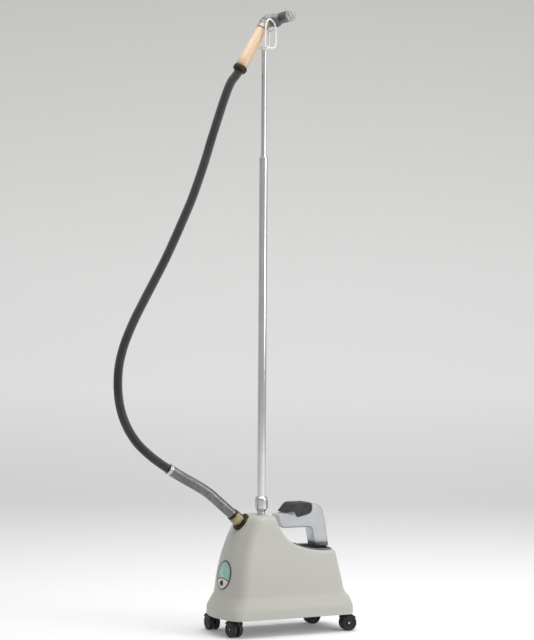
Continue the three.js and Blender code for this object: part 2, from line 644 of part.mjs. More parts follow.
const boilerY = (boilerFront + boilerRear) / 2;
const boilerCorner = 22;
const tank = (inset) => {
  const half = boilerWidth / 2 - inset;
  const plan = roundedRectangle(-half, boilerFront + inset, half, boilerRear - inset, boilerCorner - inset);
  return toSolid(raised(plan, boilerFloor + inset, boilerTop - inset));
};
const steamPort = boilerRear - 12;
const portX = 38;
const portZ = boilerFloor + 15;
let boiler = tank(0).subtract(tank(2.5));
for (const [side, end] of corners) {
  const leg = disc(5, plateTop + gap, boilerFloor + 1, 12);
  boiler = boiler.add(toSolid(leg.translate(side * (boilerWidth / 2 - 14), boilerY + end * 24, 0)));
}
const atFeedPort = (shape) => toSolid(shape.rotateX(Math.PI / 2).translate(portX, boilerRear, portZ));
boiler = boiler.add(atFeedPort(disc(5, -9, 1, 12)));
boiler = boiler.subtract(atFeedPort(disc(2.5, -12, 6, 12)));
boiler = boiler.subtract(toSolid(disc(6, boilerTop - 8, boilerTop + 8).translate(0, steamPort, 0)));
const elementZ = boilerFloor + 24;
const elementHole = new THREE.BoxGeometry(12, 40, 14).translate(boilerWidth / 2, boilerY, elementZ);
boiler = boiler.subtract(toSolid(elementHole));
add('boiler_tank', boiler, paint(0xa6a9ab, 0.4, 1));

const rodRadius = 3.5;
const rodSpread = 13;
const rodPath = new THREE.CurvePath();
const rodEnd = boilerWidth / 2 + 6;
const rodTurn = -boilerWidth / 2 + 30;
const rodPoint = (x, side) => new THREE.Vector3(x, boilerY + side * rodSpread, elementZ);
rodPath.add(new THREE.LineCurve3(rodPoint(rodEnd, -1), rodPoint(rodTurn, -1)));
rodPath.add(new THREE.CubicBezierCurve3(
  rodPoint(rodTurn, -1), rodPoint(rodTurn - 17, -1), rodPoint(rodTurn - 17, 1), rodPoint(rodTurn, 1)));
rodPath.add(new THREE.LineCurve3(rodPoint(rodTurn, 1), rodPoint(rodEnd, 1)));
const elementFlange = new THREE.BoxGeometry(4, 50, 22);
elementFlange.translate(boilerWidth / 2 + gap + 2, boilerY, elementZ);
add('heating_element', toSolid(along(rodPath, rodRadius, 24, 0, 4)).add(toSolid(elementFlange)), steel());

const pipeEnd = outletCentre.clone().addScaledVector(outward, -20 - gap);
const pipeBend = outletCentre.clone();
const rise = (steamPort - outletCentre.y) / outward.y;
pipeBend.addScaledVector(outward, rise);
const steamPath = new THREE.QuadraticBezierCurve3(
  new THREE.Vector3(0, steamPort, boilerTop + gap), new THREE.Vector3(0, steamPort, pipeBend.z), pipeEnd);
add('steam_pipe', along(steamPath, 8, 10, 5.5), paint(0xb87750, 0.35, 1));
add('thermostat', disc(12, boilerTop + gap, boilerTop + 12).translate(28, boilerFront + 30, 0), black());
const block = new THREE.BoxGeometry(44, 16, 15).translate(-60, 0, plateTop + gap + 7.5);
add('terminal_block', block, paint(0xe4e0d2, 0.6));
const feedPath = new THREE.CatmullRomCurve3([
  new THREE.Vector3(0, neckY - 16 - gap, feedZ), new THREE.Vector3(0, neckY - 24, feedZ),
  new THREE.Vector3(30, neckY - 76, feedZ + 2), new THREE.Vector3(portX + 4, poleY + 40, portZ - 4),
  new THREE.Vector3(portX, poleY - 2, portZ), new THREE.Vector3(portX, boilerRear + 9 + gap, portZ)]);
add('feed_tube', along(feedPath, 4.5, 18, 0, 4), paint(0xc9cdc6, 0.5));
const glandBore = 3.6;
add('cord_gland', turned([[glandBore, -14], [glandRadius, -14], [glandRadius, 2], [12, 2], [12, 5], [9, 9],
  [5.5, 20], [glandBore, 20]]), black(), gland);

// ---------------------------------------------------------------------------- casters
// Each caster is drawn with its swivel axis at its own origin and its wheels trailing towards +X.
const casters = [
  { name: 'front_left', x: -casterX, y: casterFront, heading: 180 },
  { name: 'front_right', x: casterX, y: casterFront, heading: 190 },
  { name: 'rear_left', x: -casterX, y: casterRear, heading: -92 },
  { name: 'rear_right', x: casterX, y: casterRear, heading: 80 },
];
const wheelOffset = webWidth / 2 + slip;
const fenderInner = wheelRadius + 1;
const fenderOuter = wheelRadius + 3;
const fenderWidth = 2 * (wheelOffset + wheelWidth);

const [hubX, hubZ] = [wheelTrail, wheelRadius];
const yokeForm = () => {
  const web = new THREE.Shape();
  web.moveTo(-8, plateZ - 9);
  web.lineTo(-8, wheelRadius + 16);
  web.lineTo(hubX - 9, hubZ - 4);
  web.absarc(hubX, hubZ, 9, 1.15 * Math.PI, 0.1 * Math.PI, false);
  web.lineTo(hubX + 6, hubZ + wheelRadius + 1.5);
  web.lineTo(8, plateZ - 4);
  return web;
};
const fenderForm = () => {
  const fender = new THREE.Shape();
  const start = 0.2 * Math.PI;
  const end = 0.8 * Math.PI;
  fender.absarc(hubX, hubZ, fenderOuter, start, end, false);
  fender.absarc(hubX, hubZ, fenderInner, end, start, true);
  return fender;
};
// Drawn in (X, Z) and made as wide as width along Y.
const lengthways = (shape, width) => raised(shape, -width / 2, width / 2, 0, 9).rotateX(Math.PI / 2);

casters.forEach(({ name, x, y, heading }) => {
  const frame = new THREE.Group();
  frame.position.set(x, y, 0);
  frame.rotation.z = THREE.MathUtils.degToRad(heading);
  steamer.add(frame);

  let yoke = toSolid(lengthways(yokeForm(), webWidth)).add(toSolid(lengthways(fenderForm(), fenderWidth)));
  yoke = yoke.add(toSolid(disc(9, 2 * wheelRadius - 1, plateZ - gap - 1.2)));
  yoke = yoke.add(toSolid(disc(stemRadius, plateZ - 6, plateZ + 26, 12)));
  const axleBore = disc(axleRadius + gap, -20, 20, 12).rotateX(Math.PI / 2);
  yoke = yoke.subtract(toSolid(axleBore.translate(wheelTrail, 0, wheelRadius)));
  add(`caster_yoke_${name}`, yoke, black(), frame);

  const axleHalf = wheelOffset + wheelWidth - 2;
  const axle = disc(axleRadius, -axleHalf, axleHalf, 12).rotateX(Math.PI / 2);
  add(`caster_axle_${name}`, axle.translate(wheelTrail, 0, wheelRadius), steel(), frame);

  for (const [letter, side] of [['a', -1], ['b', 1]]) {
    const bore = axleRadius + gap;
    const wheel = turned([[bore, 0], [wheelRadius - 1, 0], [wheelRadius, 1.5], [wheelRadius, wheelWidth - 3],
      [wheelRadius - 3, wheelWidth], [bore, wheelWidth - 1.5]], 18);
    wheel.translate(0, 0, wheelOffset).rotateX(-side * Math.PI / 2).translate(wheelTrail, 0, wheelRadius);
    add(`caster_wheel_${name}_${letter}`, wheel, black(), frame);
  }
});

export default steamer;
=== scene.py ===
import math

import bpy
import numpy as np
from mathutils import Matrix, Quaternion, Vector


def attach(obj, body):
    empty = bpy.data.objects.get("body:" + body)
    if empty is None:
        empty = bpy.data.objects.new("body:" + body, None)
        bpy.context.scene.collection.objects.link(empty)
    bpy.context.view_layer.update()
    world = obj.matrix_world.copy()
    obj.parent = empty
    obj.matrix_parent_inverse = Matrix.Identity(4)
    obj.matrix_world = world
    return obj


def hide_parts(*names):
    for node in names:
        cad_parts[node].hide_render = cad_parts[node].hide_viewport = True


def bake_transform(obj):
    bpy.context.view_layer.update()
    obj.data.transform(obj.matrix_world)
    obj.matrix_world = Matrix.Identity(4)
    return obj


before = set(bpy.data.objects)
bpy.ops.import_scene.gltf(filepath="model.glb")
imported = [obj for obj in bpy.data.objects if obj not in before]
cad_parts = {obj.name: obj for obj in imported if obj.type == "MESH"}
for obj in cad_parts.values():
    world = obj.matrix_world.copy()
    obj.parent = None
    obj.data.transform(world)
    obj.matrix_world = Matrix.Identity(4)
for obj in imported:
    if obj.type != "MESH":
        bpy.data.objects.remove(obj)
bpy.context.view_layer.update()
mm = 0.001

# ---------------------------------------------------------------- camera
# A long lens stands at chest height, level with the middle of the pole, and sees the body's long side
# with a little of its front.
pole_y = -60 * mm
eye_turn = math.radians(63.5)
eye_distance = 5.8
eye_height = 0.937
eye_roll = math.radians(0.38)
lens = bpy.data.cameras.new("studio_camera")
lens.sensor_width = 36
lens.lens = 108.5
lens.shift_x = 0.007
lens.dof.use_dof = False
lens.clip_end = 100
camera = bpy.data.objects.new("studio_camera", lens)
bpy.context.scene.collection.objects.link(camera)
sight = Vector((-math.sin(eye_turn), math.cos(eye_turn), 0))
camera.location = Vector((0, pole_y, eye_height)) - sight * eye_distance
camera.rotation_mode = "QUATERNION"
camera.rotation_quaternion = sight.to_track_quat("-Z", "Y") @ Quaternion((0, 0, 1), eye_roll)
bpy.context.scene.camera = camera

# ---------------------------------------------------------------- steam hose
# A 26 mm rubber steam hose in a black braided cloth cover. It leaves the outlet, swings out in front of
# the body and rises to the handle of the hanging steam head, whose wooden grip is clamped over it.
outlet_at = Vector((0, -128 * mm, 333 * mm))
outlet_tilt = math.radians(50)
outlet_frame = Matrix.Translation(outlet_at) @ Matrix.Rotation(outlet_tilt, 4, "X")
outward = outlet_frame.to_3x3() @ Vector((0, 0, 1))
handset_foot = Vector((0, -137 * mm, 1694 * mm))
handset_lean = math.radians(-30)
handset_frame = Matrix.Translation(handset_foot) @ Matrix.Rotation(handset_lean, 4, "X")
handset_axis = handset_frame.to_3x3() @ Vector((0, 0, 1))
hose_radius = 13 * mm
hose_start = 39.4 * mm
hose_turns = [
    (-197, 391), (-236, 423), (-275, 447), (-314, 468), (-352, 490), (-391, 514), (-429, 542),
    (-467, 578), (-499, 626), (-519, 680), (-527, 740), (-524, 800), (-510, 857), (-483, 922),
    (-449, 987), (-413, 1052), (-381, 1111), (-352, 1170), (-324, 1230), (-297, 1290), (-274, 1350),
    (-253, 1410), (-234, 1470), (-214, 1530), (-193, 1591), (-170, 1646)]
hose_knots = [
    outlet_at + outward * hose_start,
    outlet_at + outward * (hose_start + 12 * mm),
    *[Vector((0, y * mm, z * mm)) for y, z in hose_turns],
    handset_foot - handset_axis * (24 * mm),
    handset_foot + handset_axis * (42.5 * mm),
    handset_foot + handset_axis * (85 * mm)]


def through(knots, per_span, closed=False):
    """Points on a smooth line through the knots, evenly enough spaced to sweep a tube along."""
    p = [np.array(k, float) for k in knots]
    if closed:
        p = [p[-1], *p, p[0], p[1]]
    else:
        p = [2 * p[0] - p[1], *p, 2 * p[-1] - p[-2]]
    line = []
    for a, b, c, d in zip(p, p[1:], p[2:], p[3:]):
        ab, bc, cd = (max(np.linalg.norm(v) ** 0.5, 1e-6) for v in (b - a, c - b, d - c))
        leave = ((b - a) / ab - (c - a) / (ab + bc) + (c - b) / bc) * bc
        arrive = ((c - b) / bc - (d - b) / (bc + cd) + (d - c) / cd) * bc
        for t in np.arange(per_span) / per_span:
            line.append(
                (2 * t**3 - 3 * t**2 + 1) * b + (t**3 - 2 * t**2 + t) * leave
                + (3 * t**2 - 2 * t**3) * c + (t**3 - t**2) * arrive)
    if not closed:
        line.append(p[-2])
    return np.array(line)


def evenly(line, step):
    """The same line again in equal steps, with the length walked at each point."""
    walked = np.concatenate([[0], np.cumsum(np.linalg.norm(np.diff(line, axis=0), axis=1))])
    at = np.linspace(0, walked[-1], max(2, int(round(walked[-1] / step)) + 1))
    return np.column_stack([np.interp(at, walked, line[:, i]) for i in range(3)]), at


def piece(name, points, faces, material=None, sharp_over=40, uv=None, uv_name="lay"):
    """A new mesh object, smooth but for edges that turn by more than sharp_over degrees."""
    mesh = bpy.data.meshes.new(name)
    mesh.from_pydata([tuple(p) for p in points], [], [tuple(f) for f in faces])
    if uv is not None:
        layer = mesh.uv_layers.new(name=uv_name)
        layer.data.foreach_set("uv", np.array([c for f in uv for c in f], np.float32).ravel())
    mesh.validate()
    mesh.shade_smooth()
    mesh.set_sharp_from_angle(angle=math.radians(sharp_over))
    made = bpy.data.objects.new(name, mesh)
    bpy.context.scene.collection.objects.link(made)
    if material:
        mesh.materials.append(material)
    return made


def swept(line, radius, sides, closed=False, turn_from=(1, 0, 0)):
    """A round bar along a line: its points, faces and lay (round the bar, along the bar in metres)."""
    line = np.array(line)
    count = len(line)
    if closed:
        tangent = np.roll(line, -1, 0) - np.roll(line, 1, 0)
    else:
        tangent = np.gradient(line, axis=0)
    tangent /= np.linalg.norm(tangent, axis=1)[:, None]
    side = np.array(turn_from, float)
    walked = np.concatenate([[0], np.cumsum(np.linalg.norm(np.diff(line, axis=0), axis=1))])
    radii = np.broadcast_to(radius, (count,))
    angle = np.arange(sides) * 2 * math.pi / sides
    points = []
    for at, along, r in zip(line, tangent, radii):
        side = side - along * (side @ along)
        side /= np.linalg.norm(side)
        other = np.cross(along, side)
        points += list(at + r * (np.outer(np.cos(angle), side) + np.outer(np.sin(angle), other)))
    faces, lay = [], []
    for i in range(count if closed else count - 1):
        j = (i + 1) % count
        for k in range(sides):
            m = (k + 1) % sides
            faces.append((i * sides + k, i * sides + m, j * sides + m, j * sides + k))
            far = walked[i + 1] if i + 1 < count else walked[-1]
            lay.append([(k / sides, walked[i]), ((k + 1) / sides, walked[i]),
                        ((k + 1) / sides, far), (k / sides, far)])
    if not closed:
        faces.append(tuple(range(sides))[::-1])
        faces.append(tuple(range((count - 1) * sides, count * sides)))
        lay += [[(0, 0)] * sides, [(0, walked[-1])] * sides]
    return points, faces, lay


def node(tree, kind, inputs=None, **settings):
    """A shader node with its settings, and with its inputs set or linked."""
    made = tree.nodes.new("ShaderNode" + kind)
    for key, value in settings.items():
        setattr(made, key, value)
    for key, value in (inputs or {}).items():
        if isinstance(value, bpy.types.NodeSocket):
            tree.links.new(value, made.inputs[key])
        else:
            made.inputs[key].default_value = value
    return made


def math_node(tree, operation, a, b=0.5, clamp=False):
    made = node(tree, "Math", {0: a, 1: b}, operation=operation, use_clamp=clamp)
    return made.outputs[0]


def shader_group(name, inputs, outputs):
    """An empty shader node group with named float, vector and colour sockets."""
    group = bpy.data.node_groups.new(name, "ShaderNodeTree")
    kinds = {float: "NodeSocketFloat", Vector: "NodeSocketVector", tuple: "NodeSocketColor"}
    for socket, (kind, value) in inputs.items():
        made = group.interface.new_socket(name=socket, in_out="INPUT", socket_type=kinds[kind])
        if value is not None:
            made.default_value = value
    for socket, kind in outputs.items():
        group.interface.new_socket(name=socket, in_out="OUTPUT", socket_type=kinds[kind])
    return group, group.nodes.new("NodeGroupInput").outputs, group.nodes.new("NodeGroupOutput").inputs


def placed(tree, group, inputs):
    made = tree.nodes.new("ShaderNodeGroup")
    made.node_tree = group
    for key, value in inputs.items():
        if isinstance(value, bpy.types.NodeSocket):
            tree.links.new(value, made.inputs[key])
        else:
            made.inputs[key].default_value = value
    return made.outputs


def surface(name, **constants):
    """A material with one Principled shader whose constant sockets are set, and its node tree."""
    material = bpy.data.materials.new(name)
    material.use_nodes = True
    tree = material.node_tree
    shader = tree.nodes["Principled BSDF"]
    for key, value in constants.items():
        shader.inputs[key.replace("_", " ")].default_value = value
    return material, tree, shader


def blended(tree, share, low, high, mode="MIX"):
    made = node(tree, "Mix", {0: share, 6: low, 7: high}, data_type="RGBA", blend_type=mode)
    return made.outputs[2]


def in_range(tree, value, low, high, to_low=0.0, to_high=1.0):
    made = node(tree, "MapRange", {"Value": value, "From Min": low, "From Max": high,
                                   "To Min": to_low, "To Max": to_high})
    return made.outputs["Result"]


# Two families of cloth strands cross on the hose, each passing over and under the other.
braid, g_in, g_out = shader_group(
    "braid", {"Round": (float, 0), "Along": (float, 0), "Strands": (float, 24), "Pitch": (float, 200)},
    {"Height": float, "Over": float})
g_round = math_node(braid, "MULTIPLY", g_in["Round"], g_in["Strands"])
g_along = math_node(braid, "MULTIPLY", g_in["Along"], g_in["Pitch"])
right_lay = math_node(braid, "ADD", g_round, g_along)
left_lay = math_node(braid, "SUBTRACT", g_round, g_along)
parity = math_node(
    braid, "ADD", math_node(braid, "FLOOR", right_lay), math_node(braid, "FLOOR", left_lay))
over = math_node(braid, "FLOORED_MODULO", parity, 2.0)
strands = []
for lay in (right_lay, left_lay):
    across = math_node(braid, "MULTIPLY", math_node(braid, "FRACT", lay), math.pi)
    strands.append(math_node(braid, "SINE", across))
crossing = node(braid, "Mix", {0: over, 2: strands[0], 3: strands[1]}, data_type="FLOAT")
braid.links.new(crossing.outputs[0], g_out["Height"])
braid.links.new(over, g_out["Over"])

# Slow blotches and fine grain in one finish, in the piece's own space, in metres.
mottle, g_in, g_out = shader_group(
    "mottle", {"Patch Size": (float, 0.05), "Grain Size": (float, 0.001)},
    {"Patch": float, "Grain": float})
g_place = node(mottle, "TexCoord").outputs["Object"]
for size, out, detail in (("Patch Size", "Patch", 4.0), ("Grain Size", "Grain", 2.0)):
    scale = math_node(mottle, "DIVIDE", 1.0, g_in[size])
    noise = node(mottle, "TexNoise", {"Vector": g_place, "Scale": scale, "Detail": detail})
    mottle.links.new(noise.outputs["Fac"], g_out[out])


def cloth_cover(name, colour, worn):
    material, tree, shader = surface(name, Sheen_Weight=0.35, Sheen_Roughness=0.5, Specular_IOR_Level=0.35)
    lay = node(tree, "SeparateXYZ", {0: node(tree, "UVMap", uv_map="lay").outputs[0]}).outputs
    woven = placed(tree, braid, {"Round": lay["X"], "Along": lay["Y"], "Strands": 24.0, "Pitch": 290.0})
    spots = placed(tree, mottle, {"Patch Size": 0.06, "Grain Size": 0.0012})
    shade = in_range(tree, woven["Height"], 0.0, 1.0, 0.35, 1.0)
    thread = blended(tree, in_range(tree, spots["Patch"], 0.4, 0.7), colour, worn)
    deep = blended(tree, shade, (0.004, 0.004, 0.004, 1), thread)
    tree.links.new(deep, shader.inputs["Base Color"])
    tree.links.new(in_range(tree, spots["Grain"], 0.3, 0.7, 0.62, 0.85), shader.inputs["Roughness"])
    height = math_node(tree, "ADD", woven["Height"], math_node(tree, "MULTIPLY", spots["Grain"], 0.4))
    bump = node(tree, "Bump", {"Height": height, "Strength": 0.7, "Distance": 0.0009})
    tree.links.new(bump.outputs[0], shader.inputs["Normal"])
    return material


hose_line = through(hose_knots, 12)
hose_path, hose_walk = evenly(hose_line, 4 * mm)
points, faces, lay = swept(hose_path, hose_radius, 24)
hose = piece("steam_hose_cloth", points, faces, cloth_cover(
    "hose_cloth", (0.013, 0.013, 0.014, 1), (0.028, 0.028, 0.03, 1)), uv=lay)
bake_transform(hose)
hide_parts("steam_hose")

# ---------------------------------------------------------------- spring guard on the hose
# The first quarter metre of the hose runs in a closely wound steel spring, so that it can't kink over
# the outlet. A pressed ferrule closes the spring's free end.
guard_length = hose_walk[-1] * 8 / 56
guard_wire = 1.15 * mm
guard_coil = hose_radius + 0.9 * mm + guard_wire
guard_pitch = 2.36 * mm
per_turn = 16
turns = guard_length / guard_pitch
guard_steps = np.arange(int(turns * per_turn)) / per_turn
guard_walk = guard_steps * guard_pitch
guard_line = np.column_stack([np.interp(guard_walk, hose_walk, hose_path[:, i]) for i in range(3)])
guard_way = np.gradient(guard_line, axis=0)
guard_way /= np.linalg.norm(guard_way, axis=1)[:, None]
guard_side = np.tile([1.0, 0, 0], (len(guard_line), 1))
guard_up = np.cross(guard_way, guard_side)
guard_angle = (guard_steps * 2 * math.pi)[:, None]
helix = guard_line + guard_coil * (np.cos(guard_angle) * guard_side + np.sin(guard_angle) * guard_up)

# Bright scuffs where a piece's edges rub. The bevelled normal leaves the true one near an edge.
edge_rub, g_in, g_out = shader_group(
    "edge_rub", {"Width": (float, 0.001), "Amount": (float, 1.0)}, {"Worn": float})
bevelled = node(edge_rub, "Bevel", {"Radius": g_in["Width"]}, samples=4).outputs[0]
true_normal = node(edge_rub, "NewGeometry").outputs["Normal"]
likeness = node(edge_rub, "VectorMath", {0: bevelled, 1: true_normal}, operation="DOT_PRODUCT")
bent = in_range(edge_rub, likeness.outputs["Value"], 0.995, 0.9)
patches = placed(edge_rub, mottle, {"Patch Size": 0.012, "Grain Size": 0.002})
broken = math_node(edge_rub, "MULTIPLY", bent, in_range(edge_rub, patches["Patch"], 0.35, 0.6))
edge_rub.links.new(math_node(edge_rub, "MULTIPLY", broken, g_in["Amount"], True), g_out["Worn"])


def metal(name, colour, dull, roughness, patch=0.03, grain=0.0006, rub=0.6, bump=0.02, **constants):
    """Plated or cast metal: dull blotches, fine scratches in the roughness and rubbed edges."""
    constants = {"Metallic": 1.0, **constants}
    material, tree, shader = surface(name, **constants)
    spots = placed(tree, mottle, {"Patch Size": patch, "Grain Size": grain})
    worn = placed(tree, edge_rub, {"Width": 0.0008, "Amount": rub})
    tone = blended(tree, in_range(tree, spots["Patch"], 0.35, 0.7), (*colour, 1), (*dull, 1))
    bright = tuple(min(1.0, c * 1.35 + 0.02) for c in colour)
    tree.links.new(blended(tree, worn["Worn"], tone, (*bright, 1)), shader.inputs["Base Color"])
    rough = in_range(tree, spots["Grain"], 0.3, 0.7, roughness * 0.8, roughness * 1.2)
    patchy = math_node(tree, "ADD", rough, in_range(tree, spots["Patch"], 0.45, 0.75, 0.0, roughness * 0.3))
    tree.links.new(patchy, shader.inputs["Roughness"])
    raised = node(tree, "Bump", {"Height": spots["Grain"], "Strength": bump, "Distance": 0.0005})
    tree.links.new(raised.outputs[0], shader.inputs["Normal"])
    return material


guard_steel = metal("guard_steel", (0.31, 0.315, 0.32), (0.2, 0.2, 0.205), 0.36, patch=0.02)
points, faces, lay = swept(helix, guard_wire, 6, turn_from=(0, 0, 1))
guard = piece("hose_spring", points, faces, guard_steel)
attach(guard, "base")
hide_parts("hose_spring_guard")


def softened(profile, radius, steps=4, closed=True):
    """The same outline with each corner rounded, by less where its edges are short."""
    if radius <= 0:
        return [tuple(q) for q in profile]
    p = [np.array(q, float) for q in profile]
    count = len(p)
    out = []
    for i, here in enumerate(p):
        if not closed and i in (0, count - 1):
            out.append(tuple(here))
            continue
        before, after = p[i - 1] - here, p[(i + 1) % count] - here
        cut = min(radius, 0.45 * np.linalg.norm(before), 0.45 * np.linalg.norm(after))
        a = here + before / np.linalg.norm(before) * cut
        b = here + after / np.linalg.norm(after) * cut
        for t in np.linspace(0, 1, steps + 1):
            out.append(tuple((1 - t) ** 2 * a + 2 * t * (1 - t) * here + t**2 * b))
    return out


def turned(name, profile, material, place=None, segments=48, soft=0.6 * mm, sharp_over=40):
    """A lathe-turned piece: (radius, height) round the axis, from axis to axis or as a closed ring."""
    open_ended = profile[0][0] == 0 and profile[-1][0] == 0
    profile = softened(profile, soft, closed=not open_ended)
    angle = np.arange(segments) * 2 * math.pi / segments
    points, rings = [], []
    for r, z in profile:
        if r < 1e-7:
            rings.append([len(points)] * segments)
            points.append((0, 0, z))
        else:
            rings.append(list(range(len(points), len(points) + segments)))
            points += [(r * math.cos(a), r * math.sin(a), z) for a in angle]
    pairs = list(zip(rings, rings[1:])) + ([] if open_ended else [(rings[-1], rings[0])])
    faces = []
    for low, high in pairs:
        for k in range(segments):
            m = (k + 1) % segments
            corners = list(dict.fromkeys([low[k], low[m], high[m], high[k]]))
            if len(corners) > 2:
                faces.append(corners)
    area = sum(a[0] * b[1] - b[0] * a[1] for a, b in zip(profile, profile[1:] + profile[:1]))
    if area < 0:
        faces = [f[::-1] for f in faces]
    made = piece(name, points, faces, material, sharp_over)
    if place is not None:
        made.matrix_world = place
    return made


plated_steel = metal("plated_steel", (0.58, 0.59, 0.6), (0.44, 0.45, 0.46), 0.3)
guard_end = np.array([np.interp(guard_length + 0.5 * mm, hose_walk, hose_path[:, i]) for i in range(3)])
guard_next = np.array([np.interp(guard_length + 12 * mm, hose_walk, hose_path[:, i]) for i in range(3)])
guard_turn = Vector(guard_next - guard_end).to_track_quat("Z", "X")
ferrule_place = Matrix.Translation(guard_end) @ guard_turn.to_matrix().to_4x4()
ferrule = turned("guard_ferrule_ring", [
    (13.4 * mm, 0), (17 * mm, 0), (17 * mm, 4 * mm), (16.2 * mm, 5 * mm), (17 * mm, 6 * mm),
    (17 * mm, 10.5 * mm), (13.4 * mm, 11 * mm)], plated_steel, ferrule_place)
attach(ferrule, "base")
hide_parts("guard_ferrule")

# ---------------------------------------------------------------- studio
# A pale floor runs up into a plain backdrop. Its paper is painted darker towards the top as painted shade,
# and it glows faintly as painted light, most from half a metre to 1.2 m up.
# One soft box hangs over the steamer and one stands beside it.
sweep_profile = [(-9.0, 0.0), (4.0, 0.0)]
for step in range(1, 13):
    bend_angle = step / 12 * math.pi / 2
    sweep_profile.append((4.0 + 3.0 * math.sin(bend_angle), 3.0 - 3.0 * math.cos(bend_angle)))
sweep_profile.append((7.0, 9.0))
sweep_points = [tuple(sight * along + Vector((-sight.y, sight.x, 0)) * across + Vector((0, 0, z)))
                for along, z in sweep_profile for across in (-9.0, 9.0)]
sweep_faces = [(2 * i, 2 * i + 1, 2 * i + 3, 2 * i + 2) for i in range(len(sweep_profile) - 1)]
backdrop_paper, tree, shader = surface("backdrop_paper", Roughness=0.9, Specular_IOR_Level=0.1)
height = node(tree, "SeparateXYZ", {0: node(tree, "TexCoord").outputs["Object"]}).outputs["Z"]
# painted shade: the paper's colour darkens from the floor to 3.2 m up
tone = blended(tree, in_range(tree, height, 0.0, 3.2), (0.79, 0.79, 0.8, 1), (0.72, 0.715, 0.69, 1))
tree.links.new(tone, shader.inputs["Base Color"])
# painted light: the paper glows, most from half a metre to 1.2 m up
painted_backdrop_glow = math_node(tree, "MULTIPLY", in_range(tree, height, 0.0, 0.5, 0.08, 0.2),
                      in_range(tree, height, 1.2, 3.2, 1.0, 0.45))
tree.links.new(blended(tree, painted_backdrop_glow, (0, 0, 0, 1), (1, 1, 0.985, 1)), shader.inputs["Emission Color"])
shader.inputs["Emission Strength"].default_value = 1.0
backdrop = piece("backdrop", sweep_points, sweep_faces, backdrop_paper)


def soft_box(name, place, aim, size, power, colour=(1, 1, 1)):
    light = bpy.data.lights.new(name, "AREA")
    light.shape = "RECTANGLE"
    light.size, light.size_y = size
    light.energy = power
    light.color = colour
    lamp = bpy.data.objects.new(name, light)
    bpy.context.scene.collection.objects.link(lamp)
    lamp.location = place
    lamp.rotation_mode = "QUATERNION"
    lamp.rotation_quaternion = (Vector(aim) - Vector(place)).to_track_quat("-Z", "Y")


soft_box("overhead_box", (0.4, 0.2, 3.6), (0, 0, 0), (3.5, 3.5), 110)
soft_box("side_box", (3.2, 2.4, 2.0), (0, 0, 0.7), (1.6, 2.6), 62)
studio_air = bpy.data.worlds.new("studio_air")
studio_air.use_nodes = True
studio_air.node_tree.nodes["Background"].inputs[0].default_value = (1, 1, 1, 1)
studio_air.node_tree.nodes["Background"].inputs[1].default_value = 0.5
bpy.context.scene.world = studio_air
bpy.context.scene.view_settings.view_transform = "Standard"

# ---------------------------------------------------------------- housing
# One satin moulding in putty grey: a flared skirt, leaning sides, a flat top for the pole and a swoop
# down to the low deck behind it. The wall is 3 mm and the steel floor plate closes it from below.
base_half = 112 * mm
base_end = 216 * mm
corner_reach = 24 * mm
skirt_bottom = 52 * mm
wall = 3 * mm
body_levels = np.array([
    (52, 0, 0, 0), (76, 1, 1, 1), (94, 9, 7, 4.5), (106, 16, 13, 7), (118, 22.5, 25, 9.5),
    (134, 25.5, 32, 10.5), (157, 28.5, 37, 12), (181, 32.5, 43, 14), (229, 43, 53.5, 20),
    (272, 57, 63, 26.5), (297, 67, 67, 30), (316, 77, 70, 32.5), (333, 88, 73, 35), (346, 99, 76, 38.5),
    (352, 108, 80, 46)]) * mm


def plan_outline():
    """The skirt's plan from above: bulged nose and tail, straight sides and rounded corners."""
    out = []

    def end_arc(side, bulge):
        radius = (base_half**2 + bulge**2) / (2 * bulge)
        sweep = math.asin(base_half / radius) - corner_reach / radius
        centre = side * (base_end - radius)
        arc = [(radius * math.cos(a), centre + radius * math.sin(a))
               for a in np.linspace(side * math.pi / 2 - sweep, side * math.pi / 2 + sweep, 31)]
        return arc, side * (base_end - bulge)

    def corner(start, tip, end):
        start, tip, end = (np.array(v, float) for v in (start, tip, end))
        return [tuple((1 - t) ** 2 * start + 2 * t * (1 - t) * tip + t**2 * end)
                for t in np.linspace(0, 1, 12)]

    nose, nose_y = end_arc(-1, 28 * mm)
    tail, tail_y = end_arc(1, 14 * mm)
    out += nose
    out += corner(nose[-1], (base_half, nose_y), (base_half, nose_y + corner_reach))
    out += corner((base_half, tail_y - corner_reach), (base_half, tail_y), tail[0])
    out += tail
    out += corner(tail[-1], (-base_half, tail_y), (-base_half, tail_y - corner_reach))
    out += corner((-base_half, nose_y + corner_reach), (-base_half, nose_y), nose[0])
    loop = np.array(out + out[:1])
    walked = np.concatenate([[0], np.cumsum(np.linalg.norm(np.diff(loop, axis=0), axis=1))])
    at = np.linspace(0, walked[-1], 241)[:-1]
    nose_middle = walked[15]
    at = (at + nose_middle) % walked[-1]
    return np.column_stack([np.interp(at, walked, loop[:, i]) for i in range(2)])


def smooth_table(x, columns, samples=400):
    """Columns given at x, as a finely sampled curve that eases through them without overshoot."""
    fine = np.linspace(x[0], x[-1], samples)
    out = [fine]
    for column in columns.T:
        slopes = np.diff(column) / np.diff(x)
        middle = np.where(slopes[:-1] * slopes[1:] > 0,
                          2 * slopes[:-1] * slopes[1:] / (slopes[:-1] + slopes[1:] + 1e-12), 0)
        tangent = np.concatenate([[slopes[0]], middle, [slopes[-1]]])
        i = np.clip(np.searchsorted(x, fine, "right") - 1, 0, len(x) - 2)
        h = x[i + 1] - x[i]
        t = (fine - x[i]) / h
        out.append((2 * t**3 - 3 * t**2 + 1) * column[i] + (t**3 - 2 * t**2 + t) * h * tangent[i]
                   + (3 * t**2 - 2 * t**3) * column[i + 1] + (t**3 - t**2) * h * tangent[i + 1])
    return out


plan = plan_outline()
level_z, level_nose, level_tail, level_side = smooth_table(body_levels[:, 0], body_levels[:, 1:])


